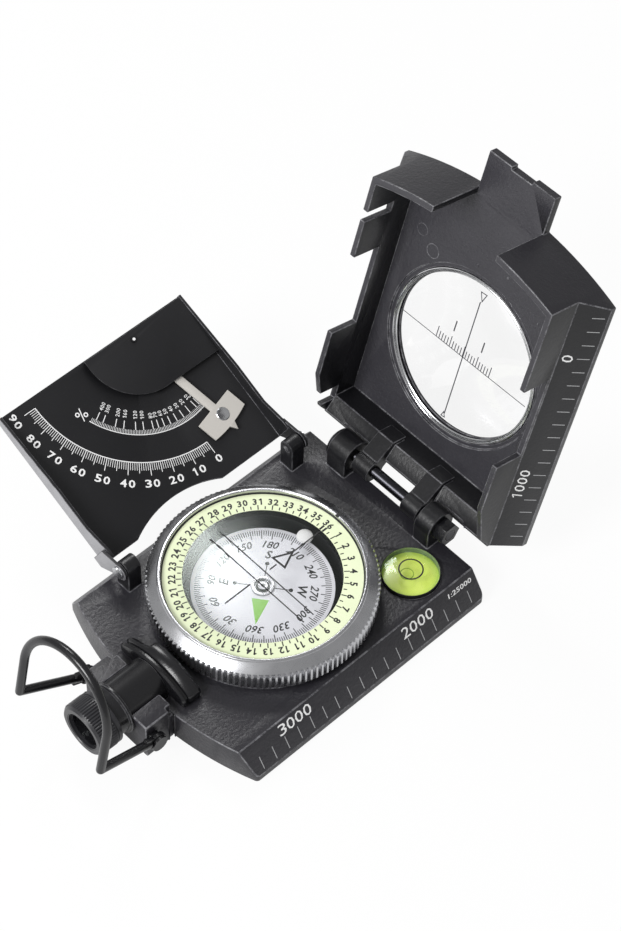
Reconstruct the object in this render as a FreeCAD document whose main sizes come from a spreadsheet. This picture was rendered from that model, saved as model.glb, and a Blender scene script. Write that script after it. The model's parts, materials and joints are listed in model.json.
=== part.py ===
import FreeCAD, Part
import Sketcher
import math
import os

# Folding sighting compass with a clinometer. Millimetres. X runs from the eyepiece
# to the lid hinge, Y towards the clinometer, Z up. The origin is on the underside,
# below the middle of the dial.

doc = FreeCAD.newDocument("SightingCompass")
sheet = doc.addObject("Spreadsheet::Sheet", "Sizes")


class Size:
    """A length that remembers the spreadsheet expression it comes from."""

    def __init__(self, value, text):
        self.value = value
        self.text = text

    def __add__(self, other):
        return Size(self.value + number(other), f"({self.text} + {text(other)})")

    def __radd__(self, other):
        return Size(number(other) + self.value, f"({text(other)} + {self.text})")

    def __sub__(self, other):
        return Size(self.value - number(other), f"({self.text} - {text(other)})")

    def __rsub__(self, other):
        return Size(number(other) - self.value, f"({text(other)} - {self.text})")

    def __mul__(self, other):
        return Size(self.value * number(other), f"({self.text} * {text(other)})")

    def __rmul__(self, other):
        return self * other

    def __truediv__(self, other):
        return Size(self.value / number(other), f"({self.text} / {text(other)})")

    def __neg__(self):
        return Size(-self.value, f"(0 - {self.text})")


def number(item):
    return item.value if isinstance(item, Size) else float(item)


def text(item):
    return item.text if isinstance(item, Size) else f"{item}"


def side_of(hypotenuse, other_side):
    value = math.sqrt(number(hypotenuse) ** 2 - number(other_side) ** 2)
    return Size(value, f"sqrt({text(hypotenuse)} ^ 2 - {text(other_side)} ^ 2)")


rows = []


def size(alias, value, note):
    """A named length on its own row of the sheet."""
    rows.append(alias)
    row = len(rows)
    sheet.set(f"A{row}", note)
    sheet.set(f"B{row}", str(value))
    sheet.setAlias(f"B{row}", alias)
    return Size(float(value), f"Sizes.{alias}")


# Clearances
fit_gap = size("fit_gap", 0.3, "Gap between faces that pass each other")
running_gap = size("running_gap", 0.05, "Radial play of a pin, shaft or screwed fit")

# Base casting
base_height = size("base_height", 9.2, "Underside to deck")
deck_edge = size("deck_edge", 0.4, "Bezel to the edge of the deck")
slope_width = size("slope_width", 4.7, "Width of the sloping scale edge")
slope_drop = size("slope_drop", 7.24, "Drop of the sloping scale edge")
deck_front = size("deck_front", 3.1, "Prism housing to the eyepiece end of the base")
base_back = size("base_back", 42.4, "Dial axis to the hinge end")
end_radius = size("end_radius", 90, "Curve of the eyepiece end, also on the lid")
corner_radius = size("corner_radius", 1.2, "Rounding of the upright corners")

# Capsule and bezel
seat_wall = size("seat_wall", 4, "Wall of the raised ring that the bezel turns on")
seat_height = size("seat_height", 2.1, "Height of that ring above the deck")
bowl_radius = size("bowl_radius", 21.9, "Outside of the capsule bowl")
bowl_wall = size("bowl_wall", 1.5, "Wall and floor of the capsule bowl")
bowl_depth = size("bowl_depth", 7, "Deck to the underside of the bowl")
bowl_rim = size("bowl_rim", 5.2, "Deck to the rim of the bowl")
bezel_edge = size("bezel_edge", 1.7, "That ring to the knurled edge of the bezel")
bezel_grip = size("bezel_grip", 4.9, "Height of the knurled band")
bezel_top = size("bezel_top", 9.5, "Deck to the top of the bezel")
rim_wall = size("rim_wall", 0.9, "Wall of the top rim")
shelf_width = size("shelf_width", 2.2, "Bowl to the bore that holds the glass")
ring_level = size("ring_level", 6.2, "Deck to the face of the luminous ring")
ring_thickness = size("ring_thickness", 0.8, "Luminous ring")
skirt_wall = size("skirt_wall", 0.7, "Wall of the skirt below the luminous ring")
skirt_depth = size("skirt_depth", 5, "Depth of that skirt")
skirt_gap = size("skirt_gap", 0.78, "Bowl to that skirt")
glass_thickness = size("glass_thickness", 1.95, "Dial glass")
glass_edge = size("glass_edge", 0.8, "Edge of the dial glass, below its bevel")
glass_bevel = size("glass_bevel", 1.6, "Width of that bevel")
card_gap = size("card_gap", 1.72, "Luminous ring to the edge of the card")
card_level = size("card_level", 3.5, "Deck to the face of the card")
card_thickness = size("card_thickness", 0.4, "Compass card")
hub_radius = size("hub_radius", 2.8, "Bearing cap in the middle of the card")
hub_groove = size("hub_groove", 2.1, "Outside of the groove in the cap")
hub_boss = size("hub_boss", 1.2, "Middle of the cap, inside the groove")
hub_height = size("hub_height", 0.6, "Cap above the card")
magnet_radius = size("magnet_radius", 8, "Ring magnet under the card")
magnet_bore = size("magnet_bore", 5, "Ring magnet under the card")
magnet_height = size("magnet_height", 1.6, "Ring magnet under the card")
post_radius = size("post_radius", 0.4, "Pivot post")
post_foot = size("post_foot", 1.8, "Foot of the pivot post")
cap_bore = size("cap_bore", 0.6, "Cup of the bearing cap")
cap_roof = size("cap_roof", 0.25, "Roof of the bearing cap")

# Level
level_gap = size("level_gap", 2.3, "Bezel to the middle of the level, along the base")
level_inset = size("level_inset", 8.8, "Edge of the deck to the middle of the level")
level_radius = size("level_radius", 7.2, "Outside of the level")
level_depth = size("level_depth", 5, "Deck to the bottom of the level's seat")
level_rise = size("level_rise", 1.3, "Deck to the flange of the level")
level_edge = size("level_edge", 0.2, "Edge of the domed window")
level_bore = size("level_bore", 5.9, "Bore of the level")
level_floor = size("level_floor", 1.2, "Floor of the level")
level_curve = size("level_curve", 50, "Curve of the domed window")

# Lid hinge
hinge_setback = size("hinge_setback", 0.13, "Hinge end of the base to the hinge axis")
hinge_rise = size("hinge_rise", 4.81, "Deck to the hinge axis")
pin_radius = size("pin_radius", 1.5, "Hinge pin")
lug_radius = size("lug_radius", 4.3, "Barrels of the base")
lug_inner = size("lug_inner", 12, "Dial axis to the near face of each barrel")
lug_left = size("lug_left", 18.2, "Dial axis to the far face of the left barrel")
lug_right = size("lug_right", 17, "Dial axis to the far face of the right barrel")
head_radius = size("head_radius", 4, "Rounded head of the hinge pin")
head_edge = size("head_edge", 0.5, "Straight edge of that head")
head_curve = size("head_curve", 6.5, "Curve of that head")
nut_radius = size("nut_radius", 3.2, "Nut across corners, half")
nut_length = size("nut_length", 3.2, "Nut on the right end of the pin")

# Lid casting
lid_wall = size("lid_wall", 1.5, "Thickness of the side walls")
lid_lip = size("lid_lip", 4, "Hinge axis to the free edge of the lid's walls")
lid_floor = size("lid_floor", 2.3, "Thickness of the lid's floor")
lid_slope_start = size("lid_slope_start", 5.21, "Hinge axis to the top of the slope")
lid_start = size("lid_start", 0.6, "Hinge axis to the hinge end of the lid")
lid_angle = size("lid_angle", 73.8, "Slope of the open lid, degrees")
lid_reach = size("lid_reach", 80.9, "Hinge axis to the far end of the lid")
end_wall = size("end_wall", 1.8, "Thickness of the far wall")
end_gap = size("end_gap", 9.9, "Half width of the opening in the far wall")
tab_half = size("tab_half", 10.2, "Half width of the thumb tab")
tab_reach = size("tab_reach", 90.4, "Hinge axis to the end of the thumb tab")
notch_half = size("notch_half", 3.2, "Half width of the step in the tab's edge")
notch_depth = size("notch_depth", 0.8, "Depth of the step in the tab's edge")
wall_crease = size("wall_crease", 6.8, "Hinge axis to the crease of the hinge-end wall")
wall_ridge = size("wall_ridge", 6.6, "Hinge axis to the ridge of that wall")
ridge_drop = size("ridge_drop", 5.2, "Hinge axis down to the ridge")
wall_edge = size("wall_edge", 2.4, "Hinge axis to the upper edge of that wall")
edge_drop = size("edge_drop", 2.8, "Hinge axis down to that edge")
flap_full = size("flap_full", 16.7, "Hinge axis to where the side walls reach full height")
flap_knee = size("flap_knee", 4.6, "Hinge axis to the knee of the side walls")
flap_knee_drop = size("flap_knee_drop", 0.65, "Hinge axis down to that knee")
flap_foot = size("flap_foot", 1.5, "Hinge axis to the foot of the side walls")
flap_foot_drop = size("flap_foot_drop", 4.2, "Hinge axis down to that foot")
grip_start = size("grip_start", 30.4, "Hinge axis to the cut-outs for the bezel")
grip_end = size("grip_end", 53.5, "Hinge axis to the far end of the cut-outs")
grip_depth = size("grip_depth", 4.6, "Hinge axis to the floor of the cut-outs")
arm_inner = size("arm_inner", 5.8, "Inner face of each hinge arm")
arm_outer = size("arm_outer", 11, "Outer face of each hinge arm")
knuckle_radius = size("knuckle_radius", 3, "Knuckle of each hinge arm")
arm_root = size("arm_root", 7.5, "Hinge axis to the root of each arm")
arm_top = size("arm_top", 4.2, "Hinge axis down to the top of that root")
arm_foot = size("arm_foot", 9, "Hinge axis down to the foot of that root")
slot_gap = size("slot_gap", 0.5, "Room beside a clinometer ear in the lid's wall")
slot_sweep = size("slot_sweep", 1, "More room where the lid swings past the near ear")
slot_depth = size("slot_depth", 5.1, "Hinge axis down to the foot of those slots")
lens_centre = size("lens_centre", 36.3, "Hinge axis to the middle of the window")
lens_hole = size("lens_hole", 21, "Hole under the window")
lens_radius = size("lens_radius", 22.3, "Window")
lens_thickness = size("lens_thickness", 0.8, "Window")
lens_ledge = size("lens_ledge", 0.8, "Ledge that the window rests on")
lens_rim = size("lens_rim", 23.5, "Outer step round the window")
ring_height = size("ring_height", 0.5, "Ring that holds the window")
ring_inner = size("ring_inner", 21.1, "Bore of the ring that holds the window")

# Clinometer, measured from its own hinge axis
fold_inset = size("fold_inset", 4, "Edge of the deck to the clinometer's hinge axis")
fold_rise = size("fold_rise", 7, "Deck to the clinometer's hinge axis")
fold_angle = size("fold_angle", 27.5, "Slope of the open plate, degrees")
plate_offset = size("plate_offset", 6.8, "Hinge axis to the printed face")
plate_thickness = size("plate_thickness", 0.8, "Plate and its flanges")
plate_left = size("plate_left", 22, "Dial axis to the left flange")
plate_right = size("plate_right", 34.2, "Dial axis to the right flange")
plate_near = size("plate_near", 3.7, "Hinge axis to the near edge of the plate")
plate_far = size("plate_far", 46.5, "Hinge axis to the far edge of the plate")
bay_start = size("bay_start", 12.3, "Dial axis to the left end of the curved bay")
bay_end = size("bay_end", 15.3, "Dial axis to the right end of the curved bay")
bay_gap = size("bay_gap", 1.8, "Bezel to the curve of the bay in the near edge")
flange_far = size("flange_far", 1.7, "Height of a flange at the far edge")
flange_mid = size("flange_mid", 3.9, "Height of a flange at its middle")
flange_near = size("flange_near", 6.3, "Height of a flange by the hinge")
ear_radius = size("ear_radius", 2.4, "Rounded ear about the hinge axis")
ear_step_left = size("ear_step_left", 0.7, "Left flange to the end of its boss")
ear_step_right = size("ear_step_right", 0.1, "Right flange to the end of its boss")
ear_root = size("ear_root", 6.5, "Hinge axis to the root of each ear")
ear_root_drop = size("ear_root_drop", 1, "Hinge axis down to the top of that root")
flange_knee = size("flange_knee", 6, "Hinge axis to the knee of a flange")
flange_step = size("flange_step", 12.8, "Hinge axis to where a flange levels out")
flange_bend = size("flange_bend", 24, "Hinge axis to where a flange starts to taper")
web_length = size("web_length", 0.8, "Web between a flange and its ear")
boss_radius = size("boss_radius", 2.2, "Bosses of the base")
boss_length = size("boss_length", 4, "Bosses of the base")
fold_pin_radius = size("fold_pin_radius", 0.9, "Clinometer hinge pins")
fold_head_radius = size("fold_head_radius", 1.7, "Heads of those pins")
fold_head_height = size("fold_head_height", 0.5, "Heads of those pins")

# Pendulum, measured from its pivot
pivot_x = size("pivot_x", 17.5, "Dial axis to the pivot")
pivot_v = size("pivot_v", 43.8, "Clinometer hinge axis to the pivot")
pendulum_lean = size("pendulum_lean", 14.6, "Rest position past zero, degrees")
pendulum_thickness = size("pendulum_thickness", 0.6, "Pendulum")
pendulum_lift = size("pendulum_lift", 0.4, "Plate to pendulum")
stem_half = size("stem_half", 1.1, "Half width of the stem")
weight_start = size("weight_start", 25.7, "Pivot to the weight")
weight_end = size("weight_end", 31.8, "Pivot to the far side of the weight")
weight_half = size("weight_half", 6.2, "Half width of the weight")
pointer_reach = size("pointer_reach", 33.7, "Pivot to the tip of the pointer")
pendulum_hub = size("pendulum_hub", 1.6, "Eye of the pendulum")
rivet_radius = size("rivet_radius", 0.7, "Rivet that the pendulum turns on")
cover_height = size("cover_height", 1.8, "Raised cover above the plate")
cover_wall = size("cover_wall", 0.4, "Sheet of the cover")
cover_radius = size("cover_radius", 14, "Curved edge of the cover, about the pivot")
cover_far = size("cover_far", 46.1, "Hinge axis to the far edge of the cover")
tip_half = size("tip_half", 1, "Half width of the pointer")

# Eyepiece
block_length = size("block_length", 7.9, "End of the base to the outer face of the block")
block_half = size("block_half", 10.7, "Half width of the block")
block_land = size("block_land", 0.7, "Flat on the curved end that the block seats on")
block_foot = size("block_foot", 0.2, "Underside of the base to the foot of the block")
block_top = size("block_top", 3, "Deck to the shoulders of the block")
neck_half = size("neck_half", 9.3, "Half width of the block where the lid passes it")
neck_length = size("neck_length", 1.6, "Length of that neck")
barrel_rise = size("barrel_rise", 0.4, "Deck to the axis of the eyepiece")
barrel_radius = size("barrel_radius", 6, "Eyepiece barrel")
barrel_bore = size("barrel_bore", 5.2, "Bore of the eyepiece barrel")
barrel_reach = size("barrel_reach", 7.3, "Outer face of the block to the end of the barrel")
collar_radius = size("collar_radius", 6.9, "Thin collar round the barrel")
collar_length = size("collar_length", 0.8, "Thin collar round the barrel")
focus_radius = size("focus_radius", 7.04, "Knurled focusing ring")
focus_room = size("focus_room", 2.9, "Collar to the near end of that ring")
focus_length = size("focus_length", 6.5, "Length of that ring")
focus_hole = size("focus_hole", 4.9, "Eye hole of that ring")
focus_lip = size("focus_lip", 1, "Lip round the eye hole")
cell_wall = size("cell_wall", 0.8, "Tube that carries the eye lens")
cell_length = size("cell_length", 9, "Tube that carries the eye lens")
eye_lens = size("eye_lens", 1.2, "Edge of the eye lens")
eye_lens_inset = size("eye_lens_inset", 1.8, "End of the tube to the edge of the lens")
eye_lens_curve = size("eye_lens_curve", 11, "Curve of the eye lens")
housing_gap = size("housing_gap", 1.5, "Bezel to the prism housing")
housing_length = size("housing_length", 5.8, "Length of the prism housing")
housing_half = size("housing_half", 11.2, "Half width of the prism housing")
housing_side = size("housing_side", 2.6, "Deck to where the housing's top curves over")
housing_curve = size("housing_curve", 19.2, "Curve of the housing's top")
housing_step = size("housing_step", 2.2, "Shorter left part of the prism housing")
housing_split = size("housing_split", 4.7, "Dial axis to the step in the housing")
prism_half = size("prism_half", 3.5, "Half width of the prism")
prism_foot = size("prism_foot", 0.8, "Deck to the foot of the prism window")
prism_height = size("prism_height", 4, "Deck to the top of the prism")
prism_length = size("prism_length", 2.4, "Prism along the eyepiece")

# Bail
bail_inset = size("bail_inset", 1.8, "Outer face of the block to the bail's pivot")
bail_drop = size("bail_drop", 2, "Deck down to the bail's pivot")
bail_wire = size("bail_wire", 1.1, "Radius of the wire")
bail_arm = size("bail_arm", 20.6, "Pivot to the corner of the bail")
bail_narrow = size("bail_narrow", 12.2, "Half width of the bail at its pivot")
bail_wide = size("bail_wide", 14.1, "Half width of the bail at its corners")
bail_leg = size("bail_leg", 11.4, "Straight part of the arch")
bail_angle = size("bail_angle", 29, "Rise of the arms, degrees")
bail_bend_angle = size("bail_bend_angle", 73, "Arms to the arch, degrees")
eye_radius = size("eye_radius", 2.4, "Flattened eye of each arm")
eye_half = size("eye_half", 0.6, "Half thickness of that eye")
tongue_half = size("tongue_half", 1.6, "Half width of the flattened end of the wire")
tongue_length = size("tongue_length", 4.6, "Pivot to the end of the flattened part")
screw_radius = size("screw_radius", 1, "Shank of the bail screw")
shoulder_radius = size("shoulder_radius", 1.7, "Shoulder of the bail screw")
screw_head = size("screw_head", 2.1, "Head of the bail screw")
screw_height = size("screw_height", 0.7, "Head of the bail screw")
screw_depth = size("screw_depth", 2, "Shank inside the block")

# Places that several pieces share
half_turn = 180
well_radius = bowl_radius + fit_gap
seat_radius = well_radius + seat_wall
bezel_radius = seat_radius + bezel_edge
rim_bore = bowl_radius + shelf_width
rim_radius = rim_bore + rim_wall
ring_bore = bowl_radius - bowl_wall - skirt_gap - skirt_wall
card_radius = ring_bore - card_gap
deck_half = bezel_radius + deck_edge
base_half = deck_half + slope_width
housing_near = bezel_radius + housing_gap
housing_far = housing_near + housing_length
base_front = housing_far + deck_front
block_far = base_front + block_length
barrel_far = block_far + barrel_reach
focus_near = block_far + collar_length + focus_room
focus_far = focus_near + focus_length
bail_x = block_far - bail_inset
bay_radius = bezel_radius + bay_gap
level_x = bezel_radius + level_gap
level_y = deck_half - level_inset
fold_y = deck_half - fold_inset
lid_inner = deck_half - lid_wall
hinge_x = base_back + hinge_setback
hinge_z = base_height + hinge_rise
head_rise = head_curve - side_of(head_curve, head_radius)
head_end = lug_left + head_edge + head_rise
end_centre = end_radius - base_front
seat_z = base_height + seat_height
barrel_z = base_height + barrel_rise
plate_face = -plate_offset
plate_back = -plate_offset - plate_thickness
lid_face = -(base_height + hinge_rise)
lid_inside = lid_face + lid_floor
bodies = []


def body(label, x=0, y=0, z=0, axis=(0, 0, 1), angle=0):
    """An empty body whose frame sits at the given place in the part."""
    made = doc.addObject("PartDesign::Body", label)
    made.Label = label
    put(made, "Placement", x, y, z, axis, angle)
    bodies.append(made)
    return made


def put(thing, name, x, y, z, axis, angle):
    spot = FreeCAD.Vector(number(x), number(y), number(z))
    turn = FreeCAD.Rotation(FreeCAD.Vector(*axis), number(angle))
    setattr(thing, name, FreeCAD.Placement(spot, turn))
    for path, item in (("Base.x", x), ("Base.y", y), ("Base.z", z), ("Rotation.Angle", angle)):
        if isinstance(item, Size):
            thing.setExpression(f"{name}.{path}", item.text)


def sketch(owner, plane, x=0, y=0, level=0, axis=(0, 0, 1), angle=0):
    """A sketch on one of the body's own planes, moved by level along its normal."""
    drawing = owner.newObject("Sketcher::SketchObject", f"{owner.Name}_outline")
    for feature in owner.Origin.OriginFeatures:
        if feature.Role == f"{plane}_Plane":
            drawing.AttachmentSupport = [(feature, "")]
    drawing.MapMode = "FlatFace"
    put(drawing, "AttachmentOffset", x, y, level, axis, angle)
    return drawing


def fix(drawing, kind, *where):
    """One constraint, bound to its size when it has one."""
    item = where[-1]
    index = drawing.addConstraint(Sketcher.Constraint(kind, *where[:-1], number(item)))
    if isinstance(item, Size):
        drawing.setExpression(f"Constraints[{index}]", item.text)


def fix_point(drawing, edge, end, x, y):
    for kind, line, item in (("DistanceX", -2, x), ("DistanceY", -1, y)):
        if isinstance(item, Size) or number(item) != 0:
            fix(drawing, kind, -1, 1, edge, end, item)
        else:
            drawing.addConstraint(Sketcher.Constraint("PointOnObject", edge, end, line))


def circle(drawing, x, y, radius):
    centre = FreeCAD.Vector(number(x), number(y), 0)
    upward = FreeCAD.Vector(0, 0, 1)
    edge = drawing.addGeometry(Part.Circle(centre, upward, number(radius)), False)
    fix(drawing, "Radius", edge, radius)
    fix_point(drawing, edge, 3, x, y)
    return edge


def arc_between(start, end, bend):
    """The short arc of radius |bend|, its centre left of the way when bend is positive."""
    middle = (start + end) / 2
    way = end - start
    left = FreeCAD.Vector(-way.y, way.x, 0).normalize()
    height = math.sqrt(max(bend ** 2 - (way.Length / 2) ** 2, 0))
    centre = middle + left * math.copysign(height, bend)
    first, last = (start, end) if bend > 0 else (end, start)
    whole = Part.Circle(centre, FreeCAD.Vector(0, 0, 1), abs(bend))
    angles = [math.atan2(point.y - centre.y, point.x - centre.x) for point in (first, last)]
    return Part.ArcOfCircle(whole, *angles)


def outline(drawing, points, closed=True):
    """Lines through points (x, y), or an arc after a point (x, y, radius)."""
    spots = [FreeCAD.Vector(number(point[0]), number(point[1]), 0) for point in points]
    count = len(points) if closed else len(points) - 1
    ends = []
    for index in range(count):
        start = spots[index]
        end = spots[(index + 1) % len(points)]
        if len(points[index]) == 3:
            bend = points[index][2]
            edge = drawing.addGeometry(arc_between(start, end, number(bend)), False)
            swap = number(bend) < 0
            ends.append((edge, 2 if swap else 1, 1 if swap else 2))
            fix(drawing, "Radius", edge, -bend if swap else bend)
        else:
            edge = drawing.addGeometry(Part.LineSegment(start, end), False)
            ends.append((edge, 1, 2))
        fix_point(drawing, edge, ends[-1][1], points[index][0], points[index][1])
    if not closed:
        fix_point(drawing, ends[-1][0], ends[-1][2], points[-1][0], points[-1][1])
    for index in range(count if closed else count - 1):
        edge, _, end = ends[index]
        following, begin, _ = ends[(index + 1) % count]
        drawing.addConstraint(Sketcher.Constraint("Coincident", edge, end, following, begin))


def box(drawing, left, right, low, high):
    outline(drawing, [(left, low), (right, low), (right, high), (left, high)])


def extrude(owner, kind, drawing, length, backwards=False):
    feature = owner.newObject(f"PartDesign::{kind}", f"{owner.Name}_{kind.lower()}")
    feature.Profile = drawing
    feature.Length = number(length)
    if isinstance(length, Size):
        feature.setExpression("Length", length.text)
    feature.Reversed = backwards
    return feature


def level_of(plane, low, high, cutting):
    """Where a sketch lies so that a pad or a pocket fills low to high."""
    if plane == "XZ":
        return -low if cutting else -high
    return high if cutting else low


def pad(owner, plane, low, high, draw):
    drawing = sketch(owner, plane, level=level_of(plane, low, high, False))
    draw(drawing)
    return extrude(owner, "Pad", drawing, high - low)


def cut(owner, plane, low, high, draw):
    drawing = sketch(owner, plane, level=level_of(plane, low, high, True))
    draw(drawing)
    return extrude(owner, "Pocket", drawing, high - low)


def turned(owner, points, kind="Revolution"):
    """A profile (radius, height) turned about the body's own Z axis."""
    drawing = sketch(owner, "XZ")
    outline(drawing, points)
    feature = owner.newObject(f"PartDesign::{kind}", f"{owner.Name}_turned")
    feature.Profile = drawing
    feature.ReferenceAxis = (drawing, ["V_Axis"])
    feature.Angle = 360
    return feature


def tube(owner, inner, outer, low, high):
    turned(owner, [(inner, low), (outer, low), (outer, high), (inner, high)])


def rod(owner, radius, low, high):
    pad(owner, "XY", low, high, lambda drawing: circle(drawing, 0, 0, radius))


def soften(owner, kind, amount, choose):
    """A fillet or chamfer on every edge of the body that choose accepts."""
    doc.recompute()
    edges = enumerate(owner.Tip.Shape.Edges, start=1)
    names = [f"Edge{index}" for index, edge in edges if choose(edge)]
    before = owner.Tip
    feature = owner.newObject(f"PartDesign::{kind}", f"{owner.Name}_{kind.lower()}")
    feature.Base = (before, names)
    part = "Radius" if kind == "Fillet" else "Size"
    setattr(feature, part, number(amount))
    feature.setExpression(part, amount.text)
    owner.Tip = feature


def upright(edge):
    low, high = (vertex.Point for vertex in edge.Vertexes)
    return edge.Curve.TypeId == "Part::GeomLine" and math.hypot(high.x - low.x, high.y - low.y) < 0.001


def plan_of_end(centre, radius, half, back):
    """Plan with parallel sides, a flat at back and the curved end about centre."""
    corner = centre - side_of(radius, half)
    return [(corner, -half), (back, -half), (back, half), (corner, half, radius)]


def base_casting():
    base = body("base_casting")
    plan = plan_of_end(end_centre, end_radius, base_half, base_back)
    pad(base, "XY", 0, base_height, lambda drawing: outline(drawing, plan))
    soften(base, "Fillet", corner_radius, lambda edge: len(edge.Vertexes) == 2 and upright(edge))
    foot = base_height - slope_drop
    for side in (1, -1):
        corners = [(side * deck_half, base_height), (side * base_half, foot), (side * base_half, base_height)]
        cut(base, "YZ", -base_front, base_back, lambda drawing: outline(drawing, corners))
    pad(base, "XY", base_height, seat_z, lambda drawing: circle(drawing, 0, 0, seat_radius))
    cut(base, "XY", base_height - bowl_depth, seat_z, lambda drawing: circle(drawing, 0, 0, well_radius))
    seat = level_radius + running_gap
    cut(base, "XY", base_height - level_depth, base_height,
        lambda drawing: circle(drawing, level_x, -level_y, seat))
    channel = barrel_radius + running_gap
    cut(base, "YZ", -base_front, -housing_far, lambda drawing: circle(drawing, 0, barrel_z, channel))
    land = base_front - block_land
    cut(base, "YZ", -base_front, -land,
        lambda drawing: box(drawing, -block_half, block_half, 0, base_height))
    lid_hinge_barrels(base)
    clinometer_bosses(base)
    return base


def lid_hinge_barrels(base):
    front = hinge_x - lug_radius
    for low, high in ((lug_inner, lug_left), (-lug_right, -lug_inner)):
        pad(base, "XZ", low, high, lambda drawing: circle(drawing, hinge_x, hinge_z, lug_radius))
        pad(base, "XZ", low, high, lambda drawing: box(drawing, front, base_back, base_height, hinge_z))
        cut(base, "XZ", low, high,
            lambda drawing: circle(drawing, hinge_x, hinge_z, pin_radius + running_gap))


def boss_spans():
    left = -(plate_left + ear_step_left)
    right = plate_right + ear_step_right
    return ((left, left + boss_length), (right - boss_length, right))


def clinometer_bosses(base):
    axis = base_height + fold_rise
    for low, high in boss_spans():
        pad(base, "YZ", low, high, lambda drawing: circle(drawing, fold_y, axis, boss_radius))
        pad(base, "YZ", low, high,
            lambda drawing: box(drawing, fold_y - boss_radius, fold_y + boss_radius, base_height, axis))
        cut(base, "YZ", low, high,
            lambda drawing: circle(drawing, fold_y, axis, fold_pin_radius + running_gap))


def capsule_bowl():
    bowl = body("capsule_bowl", z=base_height - bowl_depth)
    height = bowl_depth + bowl_rim
    inside = bowl_radius - bowl_wall
    turned(bowl, [(0, 0), (bowl_radius, 0), (bowl_radius, height), (inside, height),
                  (inside, bowl_wall), (0, bowl_wall)])


def pivot_post():
    post = body("pivot_post", z=base_height - bowl_depth + bowl_wall)
    height = bowl_depth - bowl_wall + card_level + hub_height - cap_roof - running_gap
    turned(post, [(0, 0), (post_foot, 0), (post_foot, post_radius), (post_radius, post_foot),
                  (post_radius, height - post_radius), (0, height)])


def compass_card():
    card = body("compass_card", z=base_height + card_level - card_thickness)
    tube(card, hub_radius - running_gap, card_radius, 0, card_thickness)
    cap = body("card_cap", z=base_height + card_level - card_thickness)
    top = card_thickness + hub_height
    rim = hub_radius - running_gap - running_gap
    turned(cap, [(cap_bore, 0), (rim, 0), (rim, top), (hub_groove, top), (hub_groove, card_thickness),
                 (hub_boss, card_thickness), (hub_boss, top), (0, top), (0, top - cap_roof),
                 (cap_bore, top - cap_roof)])
    magnet = body("card_magnet", z=base_height + card_level - card_thickness - magnet_height)
    tube(magnet, magnet_bore, magnet_radius, 0, magnet_height)


def bezel():
    ring = body("bezel_ring", z=base_height)
    bore = bowl_radius + running_gap
    shelf = ring_level - ring_thickness
    turned(ring, [(bore, seat_height), (bezel_radius, seat_height), (bezel_radius, seat_height + bezel_grip),
                  (rim_radius, bezel_top), (rim_bore, bezel_top), (rim_bore, shelf), (bore, shelf)])
    dial = body("dial_ring", z=base_height)
    edge = rim_bore - running_gap
    skirt = ring_bore + skirt_wall
    turned(dial, [(ring_bore, shelf - skirt_depth), (skirt, shelf - skirt_depth), (skirt, shelf),
                  (edge, shelf), (edge, ring_level), (ring_bore, ring_level)])
    glass = body("capsule_glass", z=base_height + ring_level)
    turned(glass, [(0, 0), (edge, 0), (edge, glass_edge), (edge - glass_bevel, glass_thickness),
                   (0, glass_thickness)])


def level():
    foot = base_height - level_depth
    height = level_depth + level_rise
    cup = body("level_cup", level_x, -level_y, foot)
    turned(cup, [(0, 0), (level_radius, 0), (level_radius, height), (level_bore, height),
                 (level_bore, level_floor), (0, level_floor)])
    liquid = body("level_liquid", level_x, -level_y, foot)
    rod(liquid, level_bore - running_gap, level_floor, height)
    window = body("level_window", level_x, -level_y, foot)
    rise = level_curve - side_of(level_curve, level_radius)
    turned(window, [(0, height), (level_radius, height), (level_radius, height + level_edge, level_curve),
                    (0, height + level_edge + rise)])


def hinge_pin():
    pin = body("hinge_pin", hinge_x, 0, hinge_z, (1, 0, 0), -90)
    low = -lug_right - nut_length
    turned(pin, [(0, low), (pin_radius, low), (pin_radius, lug_left), (head_radius, lug_left),
                 (head_radius, lug_left + head_edge, head_curve), (0, head_end)])
    nut = body("hinge_nut", hinge_x, 0, hinge_z, (1, 0, 0), -90)
    half = nut_radius / 2
    flat = side_of(nut_radius, half)
    corners = [(nut_radius, 0), (half, flat), (-half, flat), (-nut_radius, 0), (-half, -flat), (half, -flat)]
    pad(nut, "XY", low, -lug_right, lambda drawing: outline(drawing, corners))
    cut(nut, "XY", low, -lug_right, lambda drawing: circle(drawing, 0, 0, pin_radius + running_gap))


def lid_body(label):
    """A body in the lid's own frame: X away from the hinge, Z out of its open side."""
    return body(label, hinge_x, 0, hinge_z, (0, 1, 0), -lid_angle)


def lid_plan(radius, half, start):
    corner = lid_reach - end_radius + side_of(radius, half)
    return [(start, -half), (corner, -half, radius), (corner, half), (start, half)]


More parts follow.
